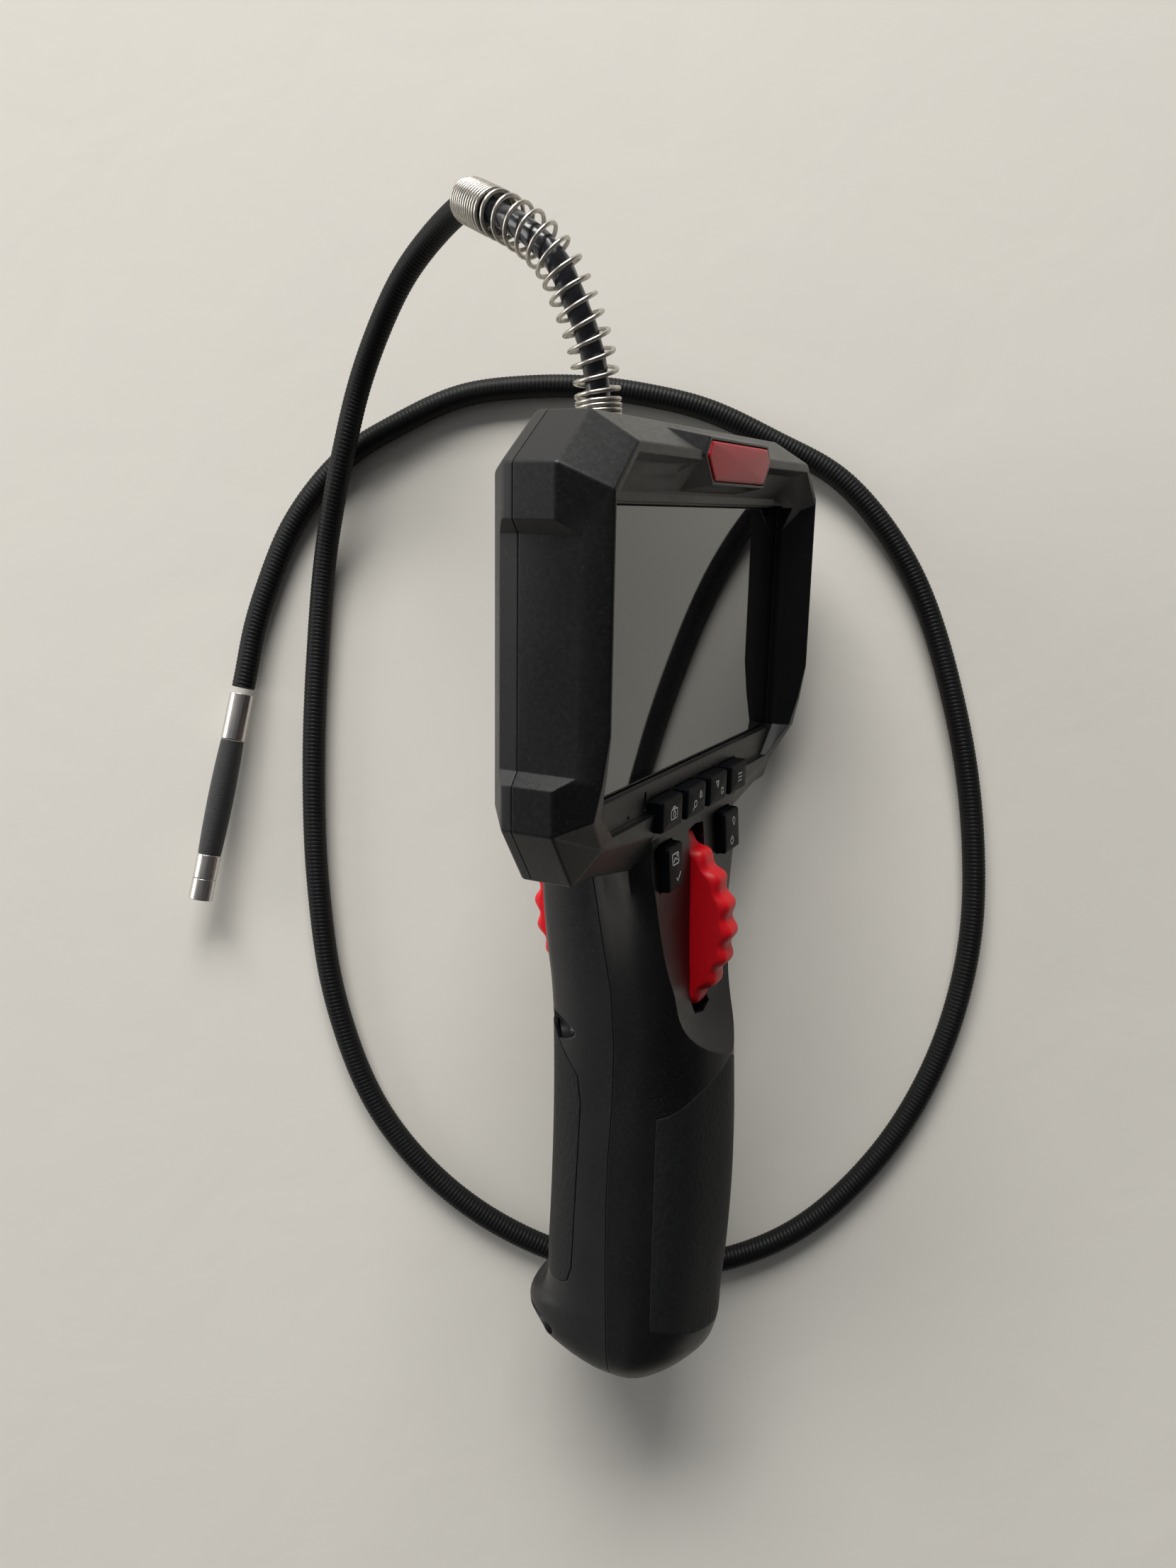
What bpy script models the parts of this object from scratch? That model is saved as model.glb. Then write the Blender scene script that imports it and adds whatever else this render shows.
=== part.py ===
# Articulating inspection camera (borescope): a 5 inch screen head on a pistol
# handle, a thumb wheel that bends the camera tip, and about one metre of
# semi-rigid insertion tube that lies in a loop under and around the handset.
#
# Handset parts are drawn in the handset's own frame, in millimetres:
#   x = the handset's right (seen by someone reading the screen)
#   y = towards its back, z = up the handle towards the head,
#   origin in the middle of the head, on the plane where its shells part.
# An empty lays that frame down on the table. Tube parts are drawn on the table.
import bpy
import bmesh
import math
from mathutils import Vector, Matrix, Euler

for ob in list(bpy.data.objects):
    bpy.data.objects.remove(ob, do_unlink=True)

MM = 0.001

# ---------------------------------------------------------------- dimensions
HEAD_HALF_W = 66.5
HEAD_TOP = 44.9
WALL = 2.3
GLASS_HALF_W = 55.0
GLASS_TOP = 28.0
GLASS_BOTTOM = -29.5
GLASS_FACE_Y = -9.3
GAP = 0.3
PART_GAP = 0.44
WHEEL_Y, WHEEL_Z = 4.0, -70.0
WHEEL_R = 26.7
WHEEL_LOBES = 24
WHEEL_HALF_T = 4.0
KEY_FACE_Y = -14.6
TUBE_R = 3.2
TIP_R = 3.25
SPRING_R = 4.95
SPRING_WIRE_R = 0.5
SPRING_Y = 16.0
TABLE_TUBE_Z = 3.4

# how the handset lies on the table
LIE_X = math.radians(-66.458)
LIE_Y = math.radians(61.361)
LIE_Z = math.radians(19.867)
LIE_POS = (16.02, 38.17, 65.82)
# shift that puts the origin under the middle of the whole outline
BASE = (-0.52, 3.67, -0.17)

parts = bpy.data.collections.new("inspection_camera")
bpy.context.scene.collection.children.link(parts)
cutters = bpy.data.collections.new("cutters")
bpy.context.scene.collection.children.link(cutters)


# ----------------------------------------------------------------- materials
def material(name, rgb, rough, metal=0.0):
    m = bpy.data.materials.new(name)
    m.use_nodes = True
    b = m.node_tree.nodes["Principled BSDF"]
    b.inputs["Base Color"].default_value = (*rgb, 1.0)
    b.inputs["Roughness"].default_value = rough
    b.inputs["Metallic"].default_value = metal
    m.diffuse_color = (*rgb, 1.0)
    return m


LOOKS = {
    "shell": ((0.035, 0.036, 0.038), 0.55, 0.0),
    "key": ((0.015, 0.016, 0.018), 0.5, 0.0),
    "red": ((0.62, 0.015, 0.025), 0.35, 0.0),
    "badge": ((0.45, 0.01, 0.02), 0.15, 0.0),
    "glass": ((0.01, 0.01, 0.012), 0.05, 0.0),
    "lcd": ((0.02, 0.02, 0.025), 0.3, 0.0),
    "grip": ((0.022, 0.023, 0.025), 0.85, 0.0),
    "steel": ((0.60, 0.59, 0.57), 0.22, 1.0),
    "nickel": ((0.66, 0.63, 0.58), 0.2, 1.0),
    "tube": ((0.012, 0.013, 0.014), 0.45, 0.0),
    "pcb": ((0.02, 0.16, 0.07), 0.5, 0.0),
    "cell": ((0.03, 0.12, 0.35), 0.4, 0.0),
    "pom": ((0.75, 0.74, 0.70), 0.45, 0.0),
    "screw": ((0.25, 0.25, 0.26), 0.35, 1.0),
    "brass": ((0.62, 0.45, 0.16), 0.3, 1.0),
    "knit": ((0.02, 0.02, 0.022), 0.7, 0.0),
    "lens": ((0.02, 0.03, 0.06), 0.05, 0.0),
    "led": ((0.85, 0.85, 0.80), 0.3, 0.0),
    "membrane": ((0.30, 0.30, 0.31), 0.7, 0.0),
}


# ------------------------------------------------------------------- helpers
def obj_from(bm, name):
    bm.normal_update()
    bmesh.ops.recalc_face_normals(bm, faces=bm.faces)
    if bm.calc_volume(signed=True) < 0:
        bmesh.ops.reverse_faces(bm, faces=bm.faces)
    me = bpy.data.meshes.new(name)
    bm.to_mesh(me)
    bm.free()
    ob = bpy.data.objects.new(name, me)
    cutters.objects.link(ob)
    return ob


def evaluated(ob):
    bpy.context.view_layer.update()
    dg = bpy.context.evaluated_depsgraph_get()
    return bpy.data.meshes.new_from_object(ob.evaluated_get(dg))


def bake(ob):
    me = evaluated(ob)
    ob.modifiers.clear()
    old = ob.data
    ob.data = me
    bpy.data.meshes.remove(old)
    return ob


def tidy(ob, dist=0.00002):
    bm = bmesh.new()
    bm.from_mesh(ob.data)
    bmesh.ops.remove_doubles(bm, verts=bm.verts, dist=dist)
    bmesh.ops.dissolve_degenerate(bm, edges=bm.edges, dist=dist)
    same = {}
    for f in bm.faces:
        same.setdefault(frozenset(f.verts), []).append(f)
    flaps = [f for group in same.values() if len(group) == 2 for f in group]
    if flaps:
        bmesh.ops.delete(bm, geom=flaps, context="FACES")
    bm.normal_update()
    bmesh.ops.recalc_face_normals(bm, faces=bm.faces)
    if bm.calc_volume(signed=True) < 0:
        bmesh.ops.reverse_faces(bm, faces=bm.faces)
    bm.to_mesh(ob.data)
    bm.free()
    return ob


def boolean(ob, other, op="DIFFERENCE", keep=False):
    m = ob.modifiers.new("bool", "BOOLEAN")
    m.solver = "EXACT"
    m.operation = op
    m.object = other
    bake(ob)
    if not keep:
        bpy.data.objects.remove(other, do_unlink=True)
    return ob


def soften(ob, width, segs=1, angle=30.0):
    m = ob.modifiers.new("bevel", "BEVEL")
    m.width = width * MM
    m.segments = segs
    m.limit_method = "ANGLE"
    m.angle_limit = math.radians(angle)
    m.use_clamp_overlap = True
    return bake(ob)


def slab(name, outline, lo, hi, axis="y"):
    """Filled 2D outline, extruded from lo to hi along an axis (mm)."""
    cu = bpy.data.curves.new(name, "CURVE")
    cu.dimensions = "2D"
    cu.fill_mode = "BOTH"
    cu.extrude = (hi - lo) / 2 * MM
    sp = cu.splines.new("POLY")
    sp.points.add(len(outline) - 1)
    for p, (a, b) in zip(sp.points, outline):
        p.co = (a * MM, b * MM, 0, 1)
    sp.use_cyclic_u = True
    tmp = bpy.data.objects.new(name, cu)
    cutters.objects.link(tmp)
    me = evaluated(tmp)
    bpy.data.objects.remove(tmp, do_unlink=True)
    mid = (lo + hi) / 2 * MM
    for v in me.vertices:
        a, b, c = v.co
        c += mid
        v.co = {"y": (a, c, b), "x": (c, a, b), "z": (a, b, c)}[axis]
    ob = bpy.data.objects.new(name, me)
    cutters.objects.link(ob)
    return tidy(ob)


def box(name, x0, x1, y0, y1, z0, z1):
    bm = bmesh.new()
    bmesh.ops.create_cube(bm, size=1.0)
    for v in bm.verts:
        v.co = (x0 * MM if v.co.x < 0 else x1 * MM,
                y0 * MM if v.co.y < 0 else y1 * MM,
                z0 * MM if v.co.z < 0 else z1 * MM)
    return obj_from(bm, name)


def cyl(name, r, lo, hi, axis, centre, seg=24, r2=None):
    """Cylinder or cone frustum; centre gives the two other coordinates."""
    bm = bmesh.new()
    bmesh.ops.create_cone(bm, cap_ends=True, segments=seg, radius1=r * MM,
                          radius2=(r if r2 is None else r2) * MM,
                          depth=(hi - lo) * MM)
    c = centre
    for v in bm.verts:
        a, b, h = v.co
        h += (lo + hi) / 2 * MM
        if axis == "x":
            v.co = (h, a + c[0] * MM, b + c[1] * MM)
        elif axis == "y":
            v.co = (a + c[0] * MM, h, b + c[1] * MM)
        else:
            v.co = (a + c[0] * MM, b + c[1] * MM, h)
    return obj_from(bm, name)


def ring(name, ro, ri, lo, hi, axis, centre, seg=24):
    a = cyl(name, ro, lo, hi, axis, centre, seg)
    b = cyl(name + "_bore", ri, lo - 1, hi + 1, axis, centre, seg)
    return boolean(a, b)


def loft(name, rings, close=True):
    """Closed skin through rings with the same number of points (mm)."""
    bm = bmesh.new()
    rows = [[bm.verts.new(Vector(p) * MM) for p in r] for r in rings]
    n = len(rows[0])
    for a, b in zip(rows, rows[1:]):
        for i in range(n):
            j = (i + 1) % n
            bm.faces.new((a[i], a[j], b[j], b[i]))
    sides = list(bm.faces)
    for row, flip in ((rows[0], True), (rows[-1], False)) if close else ():
        if any(max(v.co[k] for v in row) - min(v.co[k] for v in row) < 1e-7 for k in range(3)):
            bm.faces.new(row[::-1] if flip else row)
        else:
            mid = bm.verts.new(sum((v.co for v in row), Vector()) / n)
            for i in range(n):
                bm.faces.new((row[i], row[(i + 1) % n], mid))
    bmesh.ops.triangulate(bm, faces=sides)
    return obj_from(bm, name)


def mirror_ring(half):
    """Half outline with x >= 0, first and last point on x = 0, to a full ring."""
    return list(half) + [(-p[0], *p[1:]) for p in reversed(half[1:-1])]


def lerp(table, t):
    """Linear interpolation in a table of (t, value) sorted by t."""
    if t <= table[0][0]:
        return table[0][1]
    for (a, u), (b, v) in zip(table, table[1:]):
        if t <= b:
            return u + (v - u) * (t - a) / (b - a)
    return table[-1][1]


# --------------------------------------------------------- shell form: head
def head_half(y, T1, T2, B2, B3, B4, zc, S=-13.5):
    x2 = T2[0]
    return [(0, y, T1[1]), (T1[0], y, T1[1]), (T2[0], y, T2[1]), (x2, y, S), (x2, y, -22.5),
            (B2[0], y, B2[1]), (B3[0], y, B3[1]), (B3[0] - 8.0, y, B3[1] - 0.2),
            (B4[0], y, B4[1]), (0, y, zc)]


def head_outer():
    band = dict(T1=(53.5, 44.9), T2=(66.5, 35.1), B2=(66.5, -32.8), B3=(58, -44.9),
                B4=(30.6, -48.8), zc=-48.8)
    rows = [
        head_half(14.0, (40, 35), (48.2, 28.5), (48.2, -26), (42, -36), (28, -38), -38),
        head_half(9.0, (47.5, 41.5), (57.6, 33.6), (57.6, -30.8), (51, -41.5), (29.5, -45), -45),
        head_half(2.3, **band),
        head_half(-8.7, **band),
    ]
    crest = [(0, -18.1, 39.2), (52.5, -18.1, 39.2), (62, -18.1, 30.6), (62, -18.1, -13.5),
             (62, -16.8, -22.5), (62, -15.2, -30.0), (52.0, -12.3, -38.3),
             (48.0, -12.3, -38.8), (26.9, -12.2, -41.5), (0, -12.2, -41.5)]
    rows.append(crest)
    return loft("head_outer", [mirror_ring(r) for r in rows])


def head_inner():
    mid = dict(T1=(51.5, 42.4), T2=(61.9, 34.2), B2=(61.9, -31.4), B3=(55.2, -41.6),
               B4=(29, -45.6), zc=-45.6)
    rows = [
        head_half(11.6, (38, 32.4), (46, 26), (46, -24.5), (40, -33.5), (26, -35.5), -35.5),
        head_half(7.6, (45.5, 38.8), (55.2, 31.5), (55.2, -29.2), (49, -38.8), (28, -42.5), -42.5),
        head_half(2.3, **mid),
        head_half(-7.3, **mid),
    ]
    return loft("head_inner", [mirror_ring(r) for r in rows])


# ------------------------------------------------------- shell form: handle
# z, front half points from the ridge to the parting line, rear depth
HANDLE = [
    (-38.0, [(0, -20), (12, -18), (20, -14), (24, -10), (26, -6), (24, 0), (21, 2.0)], 24.2),
    (-49.4, [(0, -24), (13, -20), (21, -16), (25.8, -12.3), (30.0, -8), (26, -2), (20, 4.7)], 24.4),
    (-62.0, [(0, -24), (12, -20.5), (19, -17), (23.2, -12.7), (24.4, -7), (22, -1), (19.2, 4.8)], 24.3),
    (-75.0, [(0, -23.5), (11, -20.5), (16, -17.6), (19.4, -13.4), (20.8, -7.5), (20, -2), (19, 2.4)], 23.3),
    (-86.0, [(0, -23), (9, -20.5), (14, -17.8), (17.4, -14.6), (19.3, -9), (19.3, -4), (19, 0.4)], 21.8),
    (-95.0, [(0, -22.9), (8, -20.7), (13, -18), (16.8, -14.6), (19, -9), (19.1, -4), (19, -0.4)], 21.1),
    (-104.0, [(0, -23.3), (8, -21.0), (13.4, -17.9), (17, -14), (19, -8.5), (19.1, -4), (19, -0.5)], 20.8),
    (-120.0, [(0, -24.0), (8, -21.8), (13.6, -18.5), (17.2, -14.2), (19, -8.5), (19.2, -4), (19, 0.0)], 20.6),
    (-137.0, [(0, -24.2), (8, -22.0), (13.6, -18.7), (17.2, -14.3), (19, -8.5), (19.2, -4), (19, 0.5)], 20.8),
    (-158.0, [(0, -23.4), (8, -21.2), (13.6, -18.0), (17.2, -13.8), (19, -8.2), (19.2, -4), (19, 0.3)], 21.6),
    (-169.0, [(0, -22.6), (8, -20.4), (13.4, -17.4), (17, -13.2), (19, -7.9), (19.1, -4), (19, -0.3)], 22.2),
    (-171.6, [(0, -22.6), (8, -20.3), (13.4, -17.3), (17, -13.1), (19, -7.8), (19.1, -4), (19, -0.4)], 22.9),
    (-174.3, [(0, -22.5), (8, -20.2), (13.4, -17.1), (17, -12.9), (19, -7.6), (19.1, -3.9), (19, -0.5)], 26.7),
    (-178.2, [(0, -21.8), (8, -19.5), (13.3, -16.4), (16.9, -12.4), (18.9, -7.2), (19, -3.7), (19, -0.5)], 27.6),
    (-182.4, [(0, -20.2), (8, -18.0), (13.1, -15.1), (16.5, -11.3), (18.5, -6.6), (18.7, -3.4), (18.7, -0.5)], 26.0),
    (-185.3, [(0, -18.0), (7.8, -16.0), (12.5, -13.4), (15.8, -10.0), (17.7, -5.9), (18.0, -3.2), (18.0, -0.5)], 21.4),
    (-187.8, [(0, -15.2), (7.2, -13.4), (11.5, -11.3), (14.5, -8.6), (16.2, -5.4), (16.7, -3.0), (16.8, -0.5)], 15.0),
    (-189.7, [(0, -12.0), (6.2, -10.7), (9.9, -9.2), (12.5, -7.1), (14.1, -4.8), (14.6, -2.8), (14.7, -0.7)], 8.8),
    (-190.9, [(0, -8.2), (4.2, -7.4), (6.8, -6.4), (8.7, -5.1), (9.9, -3.6), (10.4, -2.3), (10.5, -1.0)], 3.8),
]
REAR_FORM = [(1.0, 0.22), (0.985, 0.42), (0.93, 0.62), (0.82, 0.80), (0.62, 0.93), (0.36, 0.985), (0.0, 1.0)]


def handle_ring(z, front, rear, off=0.0, coarse=False):
    wx, p = front[-1]
    form = REAR_FORM
    if coarse:
        front = [front[0], front[2], front[3], front[4]]
        form = [REAR_FORM[1], REAR_FORM[3], REAR_FORM[5], REAR_FORM[6]]
    half = list(front) + [(wx * a, p + (rear - p) * b) for a, b in form]
    if off:
        out = []
        n = len(half)
        for i, (x, y) in enumerate(half):
            x0, y0 = half[i - 1] if i else (-half[1][0], half[1][1])
            x1, y1 = half[i + 1] if i < n - 1 else (-half[-2][0], half[-2][1])
            tx, ty = x1 - x0, y1 - y0
            l = math.hypot(tx, ty)
            out.append((max(x - off * ty / l, 0.0) if 0 < i < n - 1 else 0.0, y + off * tx / l))
        half = out
    return mirror_ring([(x, y, z) for x, y in half])


def handle_outer():
    return loft("handle_outer", [handle_ring(z, f, r) for z, f, r in HANDLE])


def handle_inner():
    rows = [handle_ring(z, f, r, WALL, True) for z, f, r in HANDLE if -188 < z < -36 and z not in (-95.0, -137.0, -171.6)]
    return loft("handle_inner", rows)


def hump(name, off, z_top):
    """Spine behind the head that carries the handle's back up to the tube exit."""
    st = [(-54.0, 19.6, 24.5), (-20.0, 19.4, 25.0), (20.0, 18.8, 25.2), (36.0, 18.0, 25.0),
          (41.5, 16.8, 24.6), (44.9, 15.2, 23.9)]
    rows = []
    for z, w, r in st:
        z = min(z, z_top)
        w, r = w - off, r - off
        half = [(0, 6.0 if not off else 4.0), (w + 2.5, 6.0 if not off else 4.0), (w + 0.6, 15.0), (w - 1.6, 20.0),
                (w * 0.70, r - 1.4), (w * 0.4, r - 0.2), (0, r)]
        rows.append(mirror_ring([(x, y, z) for x, y in half]))
    return loft(name, rows)


# ----------------------------------------------------- thumb deck and basin
DECK_MID = [(-104.0, -25.5), (-100.0, -22.5), (-96.0, -18.8), (-92.0, -15.6), (-88.0, -13.8),
            (-80.0, -13.2), (-70.0, -12.8), (-53.0, -12.3), (-42.0, -11.3), (-36.0, -11.0)]
DECK_CURL = [(-104.0, 0.0), (-96.0, 0.006), (-86.0, 0.0075), (-76.0, 0.002), (-60.0, 0.0), (-36.0, 0.0)]
DECK_HALF = [(-104.0, 40.0), (-47.0, 40.0), (-43.0, 26.4), (-36.0, 25.0)]


def deck(name, off=0.0):
    rows = []
    for z in (-36.0, -42.0, -43.0, -47.0, -53.0, -62.0, -70.0, -76.0, -80.0, -84.0, -88.0, -92.0, -96.0,
              -100.0, -104.0):
        w = lerp(DECK_HALF, z) + (6 if off else 0)
        half = [(0, -60.0), (w, -60.0)]
        for fx in (1.0, 0.55, 0.35, 0.2, 0.1):
            x = w * fx
            half.append((x, lerp(DECK_MID, z) - lerp(DECK_CURL, z) * min(x, 20) ** 2 + off))
        half.append((0, lerp(DECK_MID, z) + off))
        zz = z
        if off and z == -36.0:
            zz = -30.0
        rows.append(mirror_ring([(x, y, zz) for x, y in half]))
    return loft(name, rows)


def basin():
    """Space in front of the screen and key panel, inside the rim."""
    def row(y, x, zt, xb, zb, cut=9.0):
        return mirror_ring([(0, y, zt), (x - cut, y, zt), (x, y, zt - 8.2), (x, y, -22.0),
                            (xb, y, zb + 7.0), (xb - 9.0, y, zb), (0, y, zb)])
    upper = loft("basin", [row(-24.0, 61.6, 37.8, 62.0, -37.2), row(-18.1, 61.3, 37.3, 61.4, -36.9),
                           row(-15.0, 58.7, 36.0, 58.8, -36.8), row(-12.9, 57.0, 33.0, 57.0, -36.7),
                           row(-11.0, 56.3, 30.4, 56.3, -36.6)])
    lower = slab("basin_floor", [(-47.5, 28.7), (47.5, 28.7), (55.6, 28.7), (55.6, -29.9), (-55.6, -29.9), (-55.6, 28.7)],
                 -12.0, -9.65, "y")
    return upper, lower


def parting_prism(name, side):
    """Everything in front of (side=-1) or behind (side=+1) the parting line."""
    p = [(60.0, 0.0), (-44.0, 0.0), (-50.5, 5.9), (-56.0, 5.6), (-70.0, 3.2), (-83.0, 0.6), (-97.0, -0.5),
         (-110.0, -0.5), (-125.0, 0.3), (-139.0, 0.6), (-159.0, 0.3), (-184.0, -0.5), (-215.0, -0.5)]
    h = PART_GAP / 2
    line = [(y + side * h, z) for z, y in p]
    far = 80.0 * side
    return slab(name, line + [(far, -215.0), (far, 60.0)], -90.0, 90.0, "x")


CASE_SCREWS = [(15.0, -96.0, "handle_upper"), (14.4, -180.6, "handle_lower"), (43.0, 24.0, "head_upper"),
               (42.0, -27.0, "head_lower")]
# grip pads: outlines seen from the front (x, z) and from the side (y, z)
GRIP_FRONT = [(-24.0, -118.0), (-24.0, -165.0), (-17.5, -170.8), (-9.0, -174.5), (0.0, -175.6), (9.0, -174.5),
              (17.5, -170.8), (24.0, -165.0), (24.0, -118.0), (12.0, -108.2), (0.0, -101.5), (-12.0, -108.2)]
GRIP_FRONT_Y = -11.6
GRIP_REAR = [(32.0, -96.4), (17.8, -96.6), (14.1, -101.5), (9.3, -107.0), (8.3, -114.0), (9.1, -134.0),
             (10.2, -160.1), (11.5, -164.2), (14.1, -165.6), (32.0, -166.0)]
GRIP_IN, GRIP_OUT, GRIP_SEAT = 1.1, -0.15, 1.5


def shell_solid():
    out = head_outer()
    boolean(out, handle_outer(), "UNION")
    boolean(out, hump("hump_outer", 0.0, 44.9), "UNION")
    boolean(out, slab("side_recess_r", [(64.4, 22.6), (66.6, 25.3), (80, 25.3), (80, -24), (66.6, -24), (64.4, -21.4)],
                      -40, 40, "y"))
    boolean(out, slab("side_recess_l", [(-64.4, 22.6), (-66.6, 25.3), (-80, 25.3), (-80, -24), (-66.6, -24), (-64.4, -21.4)],
                      -40, 40, "y"))
    up, lo = basin()
    boolean(out, up)
    boolean(out, lo)
    boolean(out, deck("deck_cut"))
    # hexagonal boss for the badge
    base = [(-30.0, 34.8), (-17.0, 31.0), (17.0, 31.0), (30.0, 34.8), (24.0, 43.5), (-24.0, 43.5)]
    face = [(-20.9, 38.2), (-16.3, 32.4), (16.3, 32.4), (20.9, 38.2), (18.4, 42.0), (-18.4, 42.0)]
    boss = loft("boss", [[(x, -9.0, z) for x, z in base], [(x, -11.2, z) for x, z in base],
                         [(x, -18.6, z) for x, z in face]])
    boolean(out, boss, "UNION")
    return out


def void_solid():
    v = head_inner()
    boolean(v, handle_inner(), "UNION")
    boolean(v, hump("hump_inner", WALL, 42.6), "UNION")
    boolean(v, deck("deck_keep", WALL))
    return v


shell = shell_solid()
void = void_solid()
# screw bosses stay solid inside the void
for sx in (1, -1):
    for px, pz, nm in CASE_SCREWS:
        if "handle" in nm:
            boolean(void, cyl("boss_h", 4.1, -30.0, 30.0, "y", (sx * px, pz), 12))
        else:
            boolean(void, cyl("boss_d", 3.8, 3.6, 30.0, "y", (sx * px, pz), 12))
boolean(shell, void)
# badge pocket
badge_out = [(-20.1, 38.2), (-15.85, 32.95), (15.85, 32.95), (20.1, 38.2), (17.65, 41.45), (-17.65, 41.45)]
boolean(shell, slab("badge_pocket", badge_out, -25.0, -17.3, "y"))
# screen opening
boolean(shell, box("screen_opening", -GLASS_HALF_W - GAP, GLASS_HALF_W + GAP, -30, -5.0,
                   GLASS_BOTTOM - GAP, GLASS_TOP + GAP))
# wheel slots, front and back, with pointed ends
ws = WHEEL_HALF_T + 0.6
boolean(shell, slab("wheel_slot_front", [(-ws, -48.4), (-ws, -92.0), (0, -93.8), (ws, -92.0), (ws, -48.4), (0, -47.4)],
                    -40.0, -11.8, "y"))
boolean(shell, slab("wheel_slot_relief", [(-ws, -45.4), (-ws, -92.2), (0, -94.0), (ws, -92.2), (ws, -45.4), (0, -44.8)],
                    -11.9, 1.0, "y"))
boolean(shell, slab("wheel_slot_back", [(-ws, -48.8), (-ws, -91.3), (0, -93.4), (ws, -91.3), (ws, -48.8), (0, -46.4)],
                    10.0, 40.0, "y"))
# seats for the rubber grip pads, and the pads themselves


def grow(outline, d):
    cx = sum(p[0] for p in outline) / len(outline)
    cz = sum(p[1] for p in outline) / len(outline)
    out = []
    n = len(outline)
    for i in range(n):
        (x0, y0), (x, y), (x1, y1) = outline[i - 1], outline[i], outline[(i + 1) % n]
        a = Vector((x - x0, y - y0)).normalized()
        b = Vector((x1 - x, y1 - y)).normalized()
        na, nb = Vector((a.y, -a.x)), Vector((b.y, -b.x))
        m = (na + nb).normalized()
        if m.dot(Vector((x - cx, y - cz))) < 0:
            m = -m
        k = d / max(abs(m.dot(na)), 0.5)
        out.append((x + m.x * k, y + m.y * k))
    return out


def handle_skin(name, off):
    return loft(name, [handle_ring(z, f, r, off) for z, f, r in HANDLE if -184 < z < -85])


def pad(name, outline, off_out, off_in, front):
    body = handle_skin(name, off_out)
    if front:
        y_edge = GRIP_FRONT_Y + (GAP if outline is not GRIP_FRONT else 0.0)
        boolean(body, slab("pad_cut", outline, -60.0, y_edge, "y"), "INTERSECT")
    else:
        boolean(body, slab("pad_cut", outline, -60.0, 60.0, "x"), "INTERSECT")
    boolean(body, handle_skin("pad_core", off_in))
    return body


boolean(shell, pad("seat_front", grow(GRIP_FRONT, GAP), -1.0, GRIP_SEAT, True))
boolean(shell, pad("seat_rear", grow(GRIP_REAR, GAP), -1.0, GRIP_SEAT, False))
# key openings
KEYS = {
    "key_camera": (-21.3, -37.25, 11.8, 7.5), "key_zoom": (-7.2, -37.25, 11.8, 7.5),
    "key_rotate": (6.9, -37.25, 11.8, 7.5), "key_menu": (21.0, -37.25, 11.8, 7.5),
    "key_gallery": (-18.7, -50.25, 8.8, 10.5), "key_power": (17.5, -50.25, 10.4, 10.5),
}
for kn, (kx, kz, kw, kh) in KEYS.items():
    boolean(shell, box(kn + "_hole", kx - kw / 2 - GAP, kx + kw / 2 + GAP, -25, -5,
                       kz - kh / 2 - GAP, kz + kh / 2 + GAP))
# tube exit at the top of the spine
boolean(shell, cyl("tube_exit", SPRING_R + SPRING_WIRE_R + 0.45, 38.0, 50.0, "z", (0, SPRING_Y), 28))
# port window in the right side
boolean(shell, box("port_window", 58.0, 70.0, -6.0, -1.0, -12.0, 14.0))
# screw wells from the back, each with a seat
for sx in (1, -1):
    for px, pz, nm in CASE_SCREWS:
        if "handle" in nm:
            boolean(shell, cyl("well", 2.9, 10.0, 40.0, "y", (sx * px, pz), 14))
            boolean(shell, cyl("pilot", 1.5, -7.0, 12.0, "y", (sx * px, pz), 8))
        else:
            boolean(shell, cyl("well", 2.9, 11.6, 40.0, "y", (sx * px, pz), 14))
            boolean(shell, cyl("pilot", 1.5, 5.2, 13.0, "y", (sx * px, pz), 8))


rear_mesh = shell.data.copy()
rear = bpy.data.objects.new("rear_shell", rear_mesh)
cutters.objects.link(rear)
front = shell
front.name = "front_shell"
boolean(front, parting_prism("front_half", -1), "INTERSECT")
boolean(rear, parting_prism("rear_half", 1), "INTERSECT")

# --------------------------------------------------------------- assembly
BUILT = []


def empty(name, loc, rot):
    e = bpy.data.objects.new(name, None)
    e.empty_display_size = 0.02
    e.location = Vector(loc) * MM
    e.rotation_mode = "XYZ"
    e.rotation_euler = rot
    parts.objects.link(e)
    return e


base_shift = Vector(BASE)
handset = empty("handset_frame", Vector(LIE_POS) + base_shift, (LIE_X, LIE_Y, LIE_Z))
table = empty("table_frame", base_shift, (0, 0, 0))


def finish(ob, name, look, parent, origin=None, smooth=30.0):
    """Name, colour, origin (mm, in the parent's frame), smooth shading."""
    tidy(ob)
    bm = bmesh.new()
    bm.from_mesh(ob.data)
    bmesh.ops.triangulate(bm, faces=[f for f in bm.faces if len(f.verts) > 4], ngon_method="EAR_CLIP")
    bm.to_mesh(ob.data)
    bm.free()
    ob.name = name
    ob.data.name = name
    rgb, rough, metal = LOOKS[look]
    ob.data.materials.clear()
    ob.data.materials.append(material(name + "_" + look, rgb, rough, metal))
    if origin is not None:
        o = Vector(origin) * MM
        ob.data.transform(Matrix.Translation(-o))
        ob.location = o
    ob.parent = parent
    ob.data.shade_smooth()
    ob.data.set_sharp_from_angle(angle=math.radians(smooth))
    for c in list(ob.users_collection):
        c.objects.unlink(ob)
    parts.objects.link(ob)
    BUILT.append(ob)
    return ob


finish(front, "front_shell", "shell", handset)
finish(rear, "rear_shell", "shell", handset)
finish(pad("front_grip", GRIP_FRONT, GRIP_OUT, GRIP_IN, True), "front_grip", "grip", handset)
finish(pad("rear_grip", GRIP_REAR, GRIP_OUT, GRIP_IN, False), "rear_grip", "grip", handset)

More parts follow.
